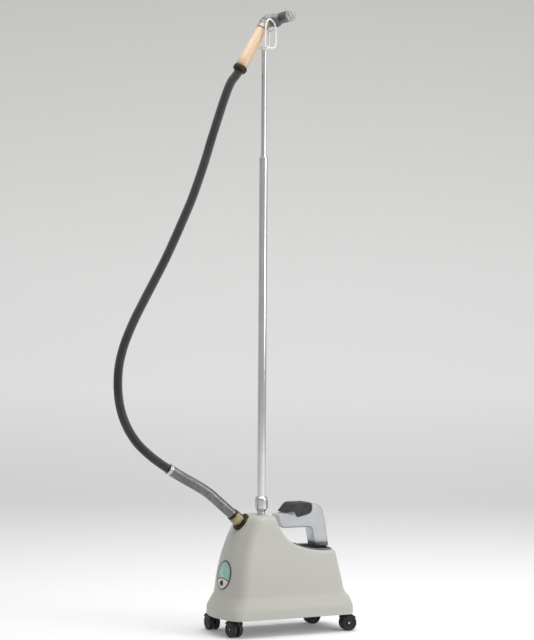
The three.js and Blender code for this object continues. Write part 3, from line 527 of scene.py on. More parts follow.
def body_point(x, y, z, grow=0.0):
    """Where a point of the skirt's plan stands at height z, on the form grown by an even thickness."""
    front = -base_end + np.interp(z, level_z, level_nose) - grow
    rear = base_end - np.interp(z, level_z, level_tail) + grow
    across = (base_half - np.interp(z, level_z, level_side) + grow) / base_half
    return x * across, (front + rear) / 2 + y * (rear - front) / (2 * base_end)


swoop_t = np.linspace(0, 1, 120)[:, None]
swoop_curve = ((1 - swoop_t) ** 3 * np.array((-47,
                                              352)) + 3 * swoop_t * (1 - swoop_t) ** 2 * np.array((-29,
                                                                                                   292))
               + 3 * swoop_t**2 * (1 - swoop_t) * np.array((-3, 258)) + swoop_t**3 * np.array((101,
                                                                                               246))) * mm
swoop_y = np.linspace(-0.3, 0.3, 1201)
swoop_z = np.interp(swoop_y, swoop_curve[:, 0], swoop_curve[:, 1])
smoothing = np.hanning(15)
swoop_z = np.convolve(np.pad(swoop_z, 7, mode="edge"), smoothing / smoothing.sum(), mode="valid")


def top_height(y, depth=0.0):
    """Height of the moulding's top at y: the plateau, the swoop or the deck, less a depth under it."""
    slope = np.gradient(swoop_z, swoop_y)
    steep = np.sqrt(1 + np.interp(y, swoop_y, slope) ** 2)
    return np.interp(y, swoop_y, swoop_z) - depth * np.minimum(steep, 2.5)


def body_rings(grow, depth, edge):
    """Rings of points from the foot of the skirt up the sides, over the rounded rim to the middle."""
    x, y = plan[:, 0], plan[:, 1]
    top = np.full(len(x), 0.3)
    for _ in range(40):
        top = 0.5 * top + 0.5 * top_height(body_point(x, y, top, grow)[1], depth)
    rim_x, rim_y = body_point(x, y, top, grow)
    foot = skirt_bottom + (0.0015 if grow == 0 else 0)
    rings = []
    low_part = np.linspace(foot, 0.190, 36)
    for z in low_part:
        px, py = body_point(x, y, z, grow)
        rings.append(np.column_stack([px, py, np.full(len(x), z)]))
    for share in np.linspace(0, 1, 34)[1:]:
        z = 0.190 + (top - edge - 0.190) * share
        px, py = body_point(x, y, z, grow)
        rings.append(np.column_stack([px, py, z]))
    rim = np.column_stack([rim_x, rim_y, top])
    centre_y = np.clip(rim_y, rim_y.min() + 0.052, rim_y.max() - 0.052)
    inward = np.column_stack([-rim_x, centre_y - rim_y, np.zeros(len(x))])
    reach = np.linalg.norm(inward, axis=1)[:, None]
    inward /= np.maximum(reach, 1e-9)
    side = rings[-1] - rim
    for angle in np.linspace(0, math.pi / 2, 7)[1:]:
        rounded = rim + (1 - math.sin(angle)) * side + edge * (1 - math.cos(angle)) * inward
        rings.append(rounded + np.column_stack([
            np.zeros((len(x), 2)), (top_height(rounded[:, 1], depth) - top) * (1 - math.cos(angle))]))
    start = rings[-1]
    for share in np.linspace(0, 1, 26)[1:]:
        flat = start + (np.column_stack([np.zeros(len(x)), centre_y, top]) - start) * share
        flat[:, 2] = top_height(flat[:, 1], depth)
        rings.append(flat)
    return rings


def ring_faces(rings_count, count, first=0, flip=False):
    out = []
    for i in range(rings_count - 1):
        for k in range(count):
            m = (k + 1) % count
            face = (first + i * count + k, first + i * count + m, first + (i + 1) * count + m,
                    first + (i + 1) * count + k)
            out.append(face[::-1] if flip else face)
    return out


def welded(obj, distance=1e-5):
    """Merges what lies together and drops what is left with no area."""
    import bmesh
    work = bmesh.new()
    work.from_mesh(obj.data)
    bmesh.ops.remove_doubles(work, verts=work.verts, dist=distance)
    bmesh.ops.dissolve_degenerate(work, edges=work.edges, dist=distance / 2)
    bmesh.ops.recalc_face_normals(work, faces=work.faces)
    work.to_mesh(obj.data)
    work.free()
    return obj


def carved(obj, cutters, operation="DIFFERENCE", sharp_over=35):
    """obj with each cutter taken away from it, or added to it, for good."""
    for cutter in cutters:
        cut = obj.modifiers.new("carve", "BOOLEAN")
        cut.operation = operation
        cut.solver = "EXACT"
        cut.object = cutter
        bpy.context.view_layer.update()
        result = bpy.data.meshes.new_from_object(
            obj.evaluated_get(bpy.context.evaluated_depsgraph_get()))
        obj.modifiers.clear()
        obj.data = result
        bpy.data.objects.remove(cutter)
    obj.data.shade_smooth()
    obj.data.set_sharp_from_angle(angle=math.radians(sharp_over))
    return obj


def rounded_box(x0, y0, x1, y1, corner, steps=10):
    """A rounded rectangle from above, counter-clockwise."""
    out = []
    for cx, cy, start in ((x1 - corner, y1 - corner, 0), (x0 + corner, y1 - corner, 90),
                          (x0 + corner, y0 + corner, 180), (x1 - corner, y0 + corner, 270)):
        for a in np.radians(np.linspace(start, start + 90, steps)):
            out.append((cx + corner * math.cos(a), cy + corner * math.sin(a)))
    return out


def pulled_in(outline, by):
    """An outline drawn counter-clockwise, moved inwards at each point."""
    p = np.array(outline)
    before = p - np.roll(p, 1, 0)
    after = np.roll(p, -1, 0) - p
    before /= np.linalg.norm(before, axis=1)[:, None]
    after /= np.linalg.norm(after, axis=1)[:, None]
    mean = before + after
    mean /= np.linalg.norm(mean, axis=1)[:, None]
    stretch = 1 / np.maximum(0.5, np.sum(mean * before, axis=1))
    return p + np.column_stack([-mean[:, 1], mean[:, 0]]) * (by * stretch)[:, None]


def slab(name, outline, low, high, edge, material=None, place=None, steps=5, sharp_over=40):
    """An outline raised from low to high with its end edges rounded."""
    levels = []
    for angle in np.linspace(0, math.pi / 2, steps + 1):
        levels.append((edge * (1 - math.sin(angle)), low + edge * (1 - math.cos(angle))))
    levels += [(inset, low + high - z) for inset, z in levels[::-1]]
    if edge == 0:
        levels = [(0, low), (0, high)]
    points = []
    for inset, z in levels:
        points += [(x, y, z) for x, y in (pulled_in(outline, inset) if inset else outline)]
    count = len(outline)
    faces = ring_faces(len(levels), count)
    faces.append(tuple(range(count))[::-1])
    faces.append(tuple(range((len(levels) - 1) * count, len(levels) * count)))
    made = piece(name, points, faces, material, sharp_over)
    if place is not None:
        made.matrix_world = place
    return made


# Dust and scuffs gather low on a piece and on what faces up.
dusting, g_in, g_out = shader_group(
    "dusting", {"Low": (float, 0.05), "High": (float, 0.2), "Amount": (float, 0.5)}, {"Dust": float})
dust_height = node(dusting, "SeparateXYZ", {0: node(dusting, "TexCoord").outputs["Object"]}).outputs["Z"]
falling = node(dusting, "MapRange",
               {"Value": dust_height, "From Min": g_in["High"], "From Max": g_in["Low"]})
facing = node(dusting, "SeparateXYZ", {0: node(dusting, "NewGeometry").outputs["Normal"]}).outputs["Z"]
lying = in_range(dusting, facing, 0.6, 1.0, 0.0, 0.5)
dust_patch = placed(dusting, mottle, {"Patch Size": 0.02, "Grain Size": 0.0015})
dust_all = math_node(dusting, "MAXIMUM", falling.outputs["Result"], lying)
dust_all = math_node(dusting, "MULTIPLY", dust_all, in_range(dusting, dust_patch["Patch"], 0.35, 0.7))
dusting.links.new(math_node(dusting, "MULTIPLY", dust_all, g_in["Amount"], True), g_out["Dust"])


def moulded(name, colour, second, roughness, grain=0.0007, bump=0.12, rub=0.35, dust=0.3,
            low=0.05, high=0.14, **constants):
    """Moulded plastic or rubber: spark-eroded grain, slight colour drift, rubbed edges and dust."""
    material, tree, shader = surface(name, **constants)
    spots = placed(tree, mottle, {"Patch Size": 0.07, "Grain Size": grain})
    worn = placed(tree, edge_rub, {"Width": 0.0012, "Amount": rub})
    dirt = placed(tree, dusting, {"Low": low, "High": high, "Amount": dust})
    tone = blended(tree, in_range(tree, spots["Patch"], 0.35, 0.65), (*colour, 1), (*second, 1))
    pale = tuple(c + (1 - c) * 0.22 for c in colour)
    tone = blended(tree, worn["Worn"], tone, (*pale, 1))
    tone = blended(tree, dirt["Dust"], tone, (0.42, 0.4, 0.36, 1))
    tree.links.new(tone, shader.inputs["Base Color"])
    rough = in_range(tree, spots["Grain"], 0.3, 0.7, roughness * 0.88, min(1.0, roughness * 1.12))
    rough = math_node(tree, "ADD", rough, math_node(tree, "MULTIPLY", dirt["Dust"], 0.3))
    tree.links.new(rough, shader.inputs["Roughness"])
    raised = node(tree, "Bump", {"Height": spots["Grain"], "Strength": bump, "Distance": 0.0004})
    tree.links.new(raised.outputs[0], shader.inputs["Normal"])
    return material


putty_plastic = moulded("putty_plastic", (0.45, 0.445, 0.4), (0.435, 0.43, 0.39), 0.42, rub=0.2, dust=0.1,
                        Specular_IOR_Level=0.45)
outer, inner = body_rings(0.0, 0.0, 8 * mm), body_rings(-wall, wall, 5.5 * mm)
ring_size = len(plan)
foot_ring = outer[0].copy()
foot_ring[:, :2] = np.column_stack(body_point(plan[:, 0], plan[:, 1], skirt_bottom, -1.2 * mm))
foot_ring[:, 2] = skirt_bottom
outer = [foot_ring, *outer]
shell_points = np.concatenate(outer + inner)
shell_faces = ring_faces(len(outer), ring_size)
inner_first = len(outer) * ring_size
shell_faces += ring_faces(len(inner), ring_size, inner_first, flip=True)
for k in range(ring_size):
    m = (k + 1) % ring_size
    shell_faces.append((k, inner_first + k, inner_first + m, m))
housing = welded(piece("housing_moulding", shell_points, shell_faces, putty_plastic))
well_cut = slab("well_cut", rounded_box(-62 * mm, 27 * mm, 62 * mm, 153 * mm, 22.8 * mm), 0.19, 0.30, 0)
pole_cut = turned("pole_cut", [(0, 0.32), (12.5 * mm, 0.32), (12.5 * mm, 0.37), (0, 0.37)], None,
                  Matrix.Translation((0, pole_y, 0)), soft=0)
outlet_cut = turned("outlet_cut", [(0, -30 * mm), (14 * mm, -30 * mm), (14 * mm, 30 * mm), (0, 30 * mm)],
                    None,
                    outlet_frame, soft=0)
button_at = Vector((0, -base_end + np.interp(0.153, level_z, level_nose), 153 * mm))
button_tilt = math.radians(80.9)
button_frame = Matrix.Translation(button_at) @ Matrix.Rotation(button_tilt, 4, "X")
button_cut = turned("button_cut", [(0, -20 * mm), (8 * mm, -20 * mm), (8 * mm, 20 * mm), (0, 20 * mm)],
                    None,
                    button_frame, soft=0)
gland_frame = Matrix.Translation((0, 182.7 * mm, 140 * mm)) @ Matrix.Rotation(math.radians(-78), 4, "X")
gland_cut = turned("gland_cut", [(0, -20 * mm), (8.5 * mm, -20 * mm), (8.5 * mm, 20 * mm), (0, 20 * mm)],
                   None,
                   gland_frame, soft=0)
carved(housing, [well_cut, pole_cut, outlet_cut, button_cut, gland_cut])
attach(housing, "base")
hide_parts("housing_shell")

# ---------------------------------------------------------------- bottle well
# A dark grey liner lies on the deck, follows the swoop and hangs down into the body as the tub that
# the water bottle stands in. It is a separate moulding, pressed in from above.
dark_plastic = moulded("dark_plastic", (0.115, 0.115, 0.117), (0.095, 0.096, 0.098), 0.5, dust=0.15)


def fair_copy(name, cad_node, material, body, soft=0.6 * mm, segments=2, sharp_over=40):
    """The CAD piece's own shape with its edges broken and its curved walls shaded smooth."""
    made = bpy.data.objects.new(name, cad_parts[cad_node].data.copy())
    bpy.context.scene.collection.objects.link(made)
    made.data.materials.clear()
    made.data.materials.append(material)
    if "custom_normal" in made.data.attributes:
        made.data.attributes.remove(made.data.attributes["custom_normal"])
    welded(made, 2e-5)
    made.data.shade_smooth()
    made.data.set_sharp_from_angle(angle=math.radians(sharp_over))
    if soft:
        softening = made.modifiers.new("broken_edges", "BEVEL")
        softening.width = soft
        softening.segments = segments
        softening.limit_method = "ANGLE"
        softening.angle_limit = math.radians(40)
        softening.harden_normals = True
    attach(made, body)
    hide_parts(cad_node)
    return made


fair_copy("bottle_well_liner", "bottle_well", dark_plastic, "base")

# ---------------------------------------------------------------- badge and power switch
# A printed plate is bent to the nose: a green field over a pale one, parted by a dark line, in a dark
# rim. The round push switch comes through the pale field in a bezel of its own.
badge_radius = 43 * mm
badge_z = 177 * mm
nose_bulge = 28 * mm
nose_radius = (base_half**2 + nose_bulge**2) / (2 * nose_bulge)


def nose_surface(x, z, grow):
    across = (base_half - np.interp(z, level_z, level_side) + grow) / base_half
    plan_y = nose_radius - base_end - np.sqrt(nose_radius**2 - (x / across) ** 2)
    return body_point(0.0, plan_y, z, grow)[1]


def nose_disc(name, inner_radius, outer_radius, low, high, material, rounding):
    """A round plate bent to the nose, from low to high over its surface, with a rounded rim."""
    loops = []
    radial = np.linspace(inner_radius, outer_radius - rounding, 16)
    loops += [(r, high) for r in radial]
    for a in np.linspace(0, math.pi / 2, 5)[1:]:
        loops.append((outer_radius - rounding + rounding * math.sin(a),
                      high - rounding * (1 - math.cos(a))))
    loops += [(outer_radius, low), (inner_radius, low)]
    count = 96
    angle = np.arange(count) * 2 * math.pi / count
    points = []
    for r, lift in loops:
        x = r * np.sin(angle)
        z = badge_z + r * np.cos(angle)
        points += list(np.column_stack([x, nose_surface(x, z, lift), z]))
    faces = ring_faces(len(loops), count)
    first, last = 0, (len(loops) - 1) * count
    faces += [(last + k, last + (k + 1) % count, first + (k + 1) % count, first + k) for k in range(count)]
    return welded(piece(name, points, faces, material))


badge_print, tree, shader = surface("badge_print", Coat_Weight=0.5, Coat_Roughness=0.12)
spot = node(tree, "SeparateXYZ", {0: node(tree, "TexCoord").outputs["Object"]}).outputs
spots = placed(tree, mottle, {"Patch Size": 0.02, "Grain Size": 0.0008})
green = blended(tree, in_range(tree, spots["Patch"], 0.35, 0.65), (0.2, 0.42, 0.33, 1),
                (0.3, 0.52, 0.44, 1))
pale_field = blended(tree, in_range(tree, spots["Patch"], 0.3, 0.7), (0.62, 0.56, 0.54, 1),
                     (0.72, 0.69, 0.66, 1))
drop = math_node(tree, "MULTIPLY", math_node(tree, "POWER", spot["X"], 2.0), 5.0)
divide = math_node(tree, "ADD", spot["Z"], drop)
upper_share = in_range(tree, divide, 0.1675, 0.168)
field = blended(tree, upper_share, pale_field, green)
off_line = math_node(tree, "ABSOLUTE", math_node(tree, "SUBTRACT", divide, 0.168))
field = blended(tree, in_range(tree, off_line, 0.0016, 0.002, 1.0, 0.0), field, (0.03, 0.035, 0.03, 1))
tree.links.new(field, shader.inputs["Base Color"])
tree.links.new(in_range(tree, spots["Grain"], 0.3, 0.7, 0.3, 0.42), shader.inputs["Roughness"])
dark_rim = moulded("badge_rim_plastic", (0.03, 0.036, 0.034), (0.04, 0.045, 0.043), 0.35, dust=0.1)
badge = nose_disc("badge_face", 0.0, badge_radius - 3 * mm, 0.3 * mm, 1.9 * mm, badge_print, 0.3 * mm)
badge_rim = nose_disc("badge_rim", badge_radius - 3.4 * mm, badge_radius, 0.3 * mm, 2.6 * mm, dark_rim,
                      0.8 * mm)
carved(badge, [turned("badge_cut", [(0, -20 * mm), (8.6 * mm, -20 * mm), (8.6 * mm, 20 * mm), (0, 20 * mm)],
                      None, button_frame, soft=0)])
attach(badge, "base")
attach(badge_rim, "base")
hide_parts("badge_plate")
bezel = turned("switch_bezel_ring", [
    (6.5 * mm, -12 * mm), (7.5 * mm, -12 * mm), (7.5 * mm, 0.6 * mm), (9 * mm, 0.6 * mm),
    (9 * mm, 2.9 * mm),
    (8.2 * mm, 3.6 * mm), (7.1 * mm, 3.6 * mm), (6.5 * mm, 2.6 * mm)], dark_plastic, button_frame,
    soft=0.4 * mm)
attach(bezel, "base")
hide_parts("switch_bezel")
black_rubber = moulded("black_rubber", (0.014, 0.014, 0.014), (0.018, 0.018, 0.018), 0.55, grain=0.0005,
                       bump=0.25, rub=0.15, dust=0.05, Specular_IOR_Level=0.4)
power_button = turned("power_button_cap", [
    (0, -10 * mm), (6 * mm, -10 * mm), (6 * mm, 5 * mm), (5.4 * mm, 6.1 * mm), (3.2 * mm, 5.7 * mm),
    (0, 5.4 * mm)], black_rubber, button_frame, soft=0.5 * mm)
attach(power_button, "button")
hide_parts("power_button")

# ---------------------------------------------------------------- steam outlet
# A dark bronze flange on the shoulder of the housing, a brass union nut and a dark crimped collar
# join the hose to the boiler's steam pipe.
dark_bronze = metal("dark_bronze", (0.05, 0.03, 0.017), (0.028, 0.018, 0.012), 0.42, patch=0.01, rub=0.8,
                    Metallic=0.75)
brass = metal("outlet_brass_metal", (0.44, 0.37, 0.24), (0.3, 0.25, 0.17), 0.36, patch=0.012, rub=0.7)
flange = turned("outlet_flange_ring", [
    (14 * mm, -14 * mm), (26 * mm, -14 * mm), (29 * mm, -8 * mm), (29 * mm, 2.6 * mm), (27 * mm, 4.5 * mm),
    (21.5 * mm, 4.5 * mm), (20.8 * mm, 3.2 * mm), (14 * mm, 3.2 * mm)], dark_bronze, outlet_frame, 64,
    0.8 * mm)
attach(flange, "base")
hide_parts("outlet_flange")
hexagon = [(20.5 * mm * math.cos(a), 20.5 * mm * math.sin(a)) for a in np.radians(np.arange(6) * 60 + 30)]
nut = slab("outlet_union_nut", softened(hexagon, 1.2 * mm, 3), 4.8 * mm, 26.8 * mm, 0, brass, outlet_frame)
chamfer = turned("nut_chamfer",
                 [(0, 3 * mm), (18.8 * mm, 3 * mm), (20.9 * mm, 6.6 * mm), (20.9 * mm, 25 * mm),
                                 (18.8 * mm, 28.6 * mm), (0, 28.6 * mm)], None, outlet_frame, soft=0)
carved(nut, [chamfer], "INTERSECT", 25)
shoulder = turned("nut_shoulder", [(0, 20 * mm), (16 * mm, 20 * mm), (16 * mm, 30.8 * mm), (0, 30.8 * mm)],
                  brass,
                  outlet_frame, soft=0.8 * mm)
carved(nut, [shoulder], "UNION", 25)
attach(nut, "base")
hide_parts("outlet_nut")
collar = turned("hose_crimp_collar", [
    (9 * mm, 31.1 * mm), (17.3 * mm, 31.1 * mm), (18.5 * mm, 32.3 * mm), (18.5 * mm, 34 * mm),
    (17.6 * mm, 35 * mm),
    (18.5 * mm, 36 * mm), (18.5 * mm, 38 * mm), (17.3 * mm, 39.1 * mm), (9 * mm, 39.1 * mm)],
    dark_bronze, outlet_frame, soft=0.5 * mm)
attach(collar, "base")
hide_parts("hose_collar")

# ---------------------------------------------------------------- pole
# Two chromed steel tubes telescope above a chromed socket that screws down on the plateau. A steel
# bush closes the mouth of the lower tube; a white glide steadies the foot of the upper one inside it.
chrome = metal("chrome_plate", (0.68, 0.69, 0.7), (0.6, 0.61, 0.62), 0.16, patch=0.08, rub=0.3, bump=0.008)
pole_place = Matrix.Translation((0, pole_y, 0))
socket = turned("pole_socket_nut", [
    (8 * mm, 307 * mm), (12 * mm, 307 * mm), (12 * mm, 361 * mm), (14.2 * mm, 364.5 * mm),
    (18.4 * mm, 369 * mm),
    (19.5 * mm, 374 * mm), (19.5 * mm, 397 * mm), (18.4 * mm, 402.5 * mm), (15 * mm, 406.6 * mm),
    (13.1 * mm, 407 * mm), (13.1 * mm, 371.5 * mm), (8 * mm, 371.5 * mm)], chrome, pole_place, 64, 1.6 * mm)
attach(socket, "base")
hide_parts("pole_socket")
lower_pole = turned("lower_pole_tube", [
    (11.2 * mm, 372 * mm), (12.7 * mm, 372 * mm), (12.7 * mm, 1424 * mm), (11.2 * mm, 1424 * mm)], chrome,
    pole_place, 64, 0.4 * mm)
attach(lower_pole, "base")
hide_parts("lower_pole")
bush = turned("pole_mouth_bushing", [
    (8.5 * mm, 1398 * mm), (10.9 * mm, 1398 * mm), (10.9 * mm, 1424.3 * mm), (12.7 * mm, 1424.3 * mm),
    (12.5 * mm, 1425.4 * mm), (11.4 * mm, 1426 * mm), (8.5 * mm, 1426 * mm)], plated_steel, pole_place, 64,
    0.4 * mm)
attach(bush, "base")
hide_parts("pole_mouth_bush")
upper_pole = turned("upper_pole_tube", [
    (6.8 * mm, 1285 * mm), (8 * mm, 1285 * mm), (8 * mm, 1748 * mm), (6.8 * mm, 1748 * mm)], chrome,
    pole_place, 48, 0.3 * mm)
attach(upper_pole, "mast")
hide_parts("upper_pole")

# ---------------------------------------------------------------- hook
# White dip-coated steel wire: two upright hoops stand on a turned cap in the pole's end, and the bar
# between them carries the neck of the steam head.
dipped_white = moulded("dipped_white", (0.8, 0.79, 0.76), (0.74, 0.73, 0.7), 0.28, grain=0.002, bump=0.06,
                       rub=0.0, dust=0.1, low=0.0, high=0.01, Coat_Weight=0.3, Coat_Roughness=0.15)
hook_cap = turned("hook_cap_turning", [
    (0, 1732 * mm), (6.5 * mm, 1732 * mm), (6.5 * mm, 1748.3 * mm), (10.5 * mm, 1748.3 * mm),
    (11 * mm, 1749.4 * mm), (11 * mm, 1759 * mm), (9.4 * mm, 1761.2 * mm), (0, 1761.3 * mm)], dipped_white,
    pole_place, 48, 0.9 * mm)
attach(hook_cap, "mast")
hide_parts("hook_cap")
wire_radius = 2.5 * mm
wire_z = 1754.8 * mm
hoop_turns = [(-7, 3), (-7.5, 45), (-5, 72), (5, 84), (18, 77), (25.5, 62), (26.5, 45), (25.5, 8),
              (20, -1), (0, -1)]
hook_wire = None
for hoop_x in (-23 * mm, 23 * mm):
    hoop = through([(hoop_x, pole_y + y * mm, wire_z + z * mm) for y, z in hoop_turns], 10, closed=True)
    points, faces, lay = swept(hoop, wire_radius, 16, closed=True)
    hoop_piece = welded(piece("hook_hoop", points, faces, dipped_white))
    hook_wire = hoop_piece if hook_wire is None else carved(hook_wire, [hoop_piece], "UNION")
for bar_y, bar_z in ((pole_y, wire_z - 0.4 * mm), (pole_y + 26.5 * mm, wire_z + 53 * mm)):
    bar = np.column_stack([np.linspace(-23 * mm, 23 * mm, 12), np.full(12, bar_y), np.full(12, bar_z)])
    points, faces, lay = swept(bar, wire_radius, 16, turn_from=(0, 0, 1))
    carved(hook_wire, [piece("hook_bar", points, faces, dipped_white)], "UNION")
hook_wire.name = "hook_wire_hoops"
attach(hook_wire, "mast")
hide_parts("hook_wire")

# ---------------------------------------------------------------- steam head
# A turned maple handle under clear lacquer, a steel ferrule, and a cast aluminium neck that ends in a
# cross pipe with steam slots along it. A dark bronze collar closes the handle's foot over the hose.
maple, tree, shader = surface("lacquered_maple", Coat_Weight=0.35, Coat_Roughness=0.18)
place = node(tree, "TexCoord").outputs["Object"]
long_way = node(tree, "Mapping", {"Vector": place, "Scale": (1.0, 1.0, 0.09)}).outputs[0]
figure = node(tree, "TexNoise",
              {"Vector": long_way, "Scale": 120.0, "Detail": 6.0, "Distortion": 0.6}).outputs["Fac"]
pores = node(tree, "TexNoise", {"Vector": long_way, "Scale": 900.0, "Detail": 2.0}).outputs["Fac"]
broad = node(tree, "TexNoise", {"Vector": long_way, "Scale": 22.0, "Detail": 2.0}).outputs["Fac"]
grain_tone = blended(tree, in_range(tree, figure, 0.35, 0.68), (0.66, 0.48, 0.31, 1), (0.5, 0.33, 0.19, 1))
grain_tone = blended(tree, in_range(tree, broad, 0.35, 0.65), grain_tone, (0.72, 0.55, 0.38, 1))
grain_tone = blended(tree, in_range(tree, pores, 0.6, 0.72, 0.0, 0.5), grain_tone, (0.3, 0.17, 0.08, 1))
# painted shade: the wood darkens over its lowest 30 mm beside the collar, broken up by the broad noise
handle_height = node(tree, "SeparateXYZ", {0: place}).outputs["Z"]
painted_collar_shade = math_node(tree, "MULTIPLY", in_range(tree, handle_height, 0.03, 0.0, 0.0, 0.5),
                  in_range(tree, broad, 0.3, 0.6))
tree.links.new(blended(tree, painted_collar_shade, grain_tone, (0.2, 0.12, 0.07, 1)), shader.inputs["Base Color"])
tree.links.new(in_range(tree, figure, 0.3, 0.7, 0.38, 0.5), shader.inputs["Roughness"])
raised = node(tree, "Bump", {"Height": pores, "Strength": 0.12, "Distance": 0.0004})
tree.links.new(raised.outputs[0], shader.inputs["Normal"])
handle = turned("maple_handle", [
    (13.6 * mm, 0), (16.4 * mm, 0), (18.2 * mm, 2.6 * mm), (19 * mm, 8 * mm), (19 * mm, 36 * mm),
    (18.4 * mm, 62 * mm),
    (17.4 * mm, 85 * mm), (16.3 * mm, 108 * mm), (15.5 * mm, 125 * mm), (14.9 * mm, 134.5 * mm),
    (14.4 * mm, 136 * mm),
    (8 * mm, 136 * mm), (8 * mm, 90 * mm), (13.6 * mm, 90 * mm)], maple, handset_frame, 64, 5 * mm)
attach(handle, "handset")
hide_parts("wood_handle")
handle_collar = turned("handle_foot_collar", [
    (13.6 * mm, -16 * mm), (17.8 * mm, -16 * mm), (19.6 * mm, -14.4 * mm), (21 * mm, -10 * mm),
    (21 * mm, -3 * mm),
    (19.8 * mm, -0.3 * mm), (13.6 * mm, -0.3 * mm)], dark_bronze, handset_frame, 64, 1 * mm)
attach(handle_collar, "handset")
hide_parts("handle_collar")
satin_nickel = metal("satin_nickel", (0.42, 0.4, 0.36), (0.33, 0.31, 0.28), 0.42, patch=0.012)
handle_ferrule = turned("handle_top_ferrule", [
    (8 * mm, 136.3 * mm), (16.2 * mm, 136.3 * mm), (17 * mm, 137.3 * mm), (17 * mm, 140.5 * mm),
    (16.2 * mm, 141.5 * mm),
    (16 * mm, 148 * mm), (16.2 * mm, 154.5 * mm), (17 * mm, 155.5 * mm), (17 * mm, 159 * mm),
    (16.2 * mm, 160 * mm),
    (8 * mm, 160 * mm)], satin_nickel, handset_frame, 64, 0.5 * mm)
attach(handle_ferrule, "handset")
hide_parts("handle_ferrule")
cast_metal = metal("cast_metal", (0.19, 0.19, 0.195), (0.12, 0.12, 0.125), 0.5, patch=0.018, rub=0.5,
                   bump=0.12, Metallic=0.8)
neck_t = np.linspace(0, 1, 16)[:, None]
neck_line = ((1 - neck_t) ** 2 * np.array((0, 0, 160.3)) + 2 * neck_t * (1 - neck_t) * np.array((0, 0,
                                                                                                 174.3))
             + neck_t**2 * np.array((0, 34.3, 196.5))) * mm
points, faces, lay = swept(neck_line, 15.6 * mm, 32)
head = piece("steam_head_casting", points, faces, cast_metal)
head_line = np.column_stack([np.linspace(-70 * mm, 70 * mm, 40), np.full(40, 34.3 * mm),
                             np.full(40, 196.5 * mm)])
points, faces, lay = swept(head_line, 16.9 * mm, 48, turn_from=(0, 0, 1))
carved(head, [piece("head_pipe", points, faces, cast_metal)], "UNION")
boss_profile = [(21 * mm * math.sin(a), -21 * mm * math.cos(a)) for a in np.linspace(0, math.pi, 20)]
boss_profile[0], boss_profile[-1] = (0, -21 * mm), (0, 21 * mm)
boss = turned("head_boss", boss_profile, cast_metal, Matrix.Translation((0, 26.3 * mm, 184.5 * mm)), soft=0)
carved(head, [boss], "UNION")


def reskinned(obj, grid, passes):
    """The joined solid under one even skin, with its edges flowed round as a casting's or a moulding's."""
    skin = obj.modifiers.new("skin", "REMESH")
    skin.mode = "VOXEL"
    skin.voxel_size = grid
    flow = obj.modifiers.new("flow", "SMOOTH")
    flow.factor = 0.5
    flow.iterations = passes
    bpy.context.view_layer.update()
    materials = list(obj.data.materials)
    obj.data = bpy.data.meshes.new_from_object(obj.evaluated_get(bpy.context.evaluated_depsgraph_get()))
    obj.modifiers.clear()
    obj.data.materials.clear()
    for material in materials:
        obj.data.materials.append(material)
    obj.data.shade_smooth()
    return obj


reskinned(head, 1.1 * mm, 8)
slot_cuts = []
for slot_place in range(-2, 3):
    slot_cut = slab("slot_cut", rounded_box(-8 * mm, -1.25 * mm, 8 * mm, 1.25 * mm, 1.2 * mm), -8 * mm,
                    8 * mm, 0,
                    None, Matrix.Translation((slot_place * 24 * mm, (34.3 + 17) * mm, 196.5 * mm))
                    @ Matrix.Rotation(math.radians(90), 4, "X"))
    slot_cuts.append(slot_cut)
carved(head, slot_cuts, sharp_over=50)
head.data.materials.clear()
head.data.materials.append(cast_metal)
head.matrix_world = handset_frame
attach(head, "handset")
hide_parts("head_casting")
cap_metal = metal("satin_cap_metal", (0.34, 0.34, 0.345), (0.25, 0.25, 0.255), 0.5, patch=0.008, rub=0.3,
                  Metallic=0.8)
for cap_side, cap_name in ((-1, "left"), (1, "right")):
    cap_place = (handset_frame @ Matrix.Translation((cap_side * 70 * mm, 34.3 * mm, 196.5 * mm))
                 @ Matrix.Rotation(cap_side * math.pi / 2, 4, "Y")
                 @ Matrix.Rotation(cap_side * handset_lean, 4, "Z"))
    end_cap = turned(f"head_cap_{cap_name}", [
        (0, -6 * mm), (14.2 * mm, -6 * mm), (14.2 * mm, 0.3 * mm), (17.6 * mm, 0.3 * mm),
        (17.6 * mm, 2.2 * mm),
        (16.4 * mm, 3.3 * mm), (0, 3.5 * mm)], cap_metal, cap_place, 64, 0.7 * mm)
    grooves = []
    for groove_y in (-5.5 * mm, 5.5 * mm):
        grooves.append(slab("groove_cut", rounded_box(-1.3 * mm, -13 * mm, 1.3 * mm, 13 * mm, 1.2 * mm),
                            2 * mm, 6 * mm, 0,
                            None, cap_place @ Matrix.Translation((groove_y, 0, 0))))
    carved(end_cap, grooves, sharp_over=30)
    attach(end_cap, "handset")
    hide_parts(f"head_end_cap_{cap_name}")

# ---------------------------------------------------------------- water bottle
# A clear moulded bottle stands in the well. Its hollow handle rises from the tail as a column and runs
# forward as an arm over a finger gap, so that it lifts out with one hand. Walls are 2 mm.
clear_plastic, tree, shader = surface(
    "clear_plastic", Transmission_Weight=0.82, IOR=1.42, Specular_IOR_Level=0.55)
spots = placed(tree, mottle, {"Patch Size": 0.03, "Grain Size": 0.0015})
worn = placed(tree, edge_rub, {"Width": 0.0015, "Amount": 0.5})
haze = blended(tree, in_range(tree, spots["Patch"], 0.35, 0.65), (0.9, 0.91, 0.92, 1),
               (0.83, 0.845, 0.86, 1))
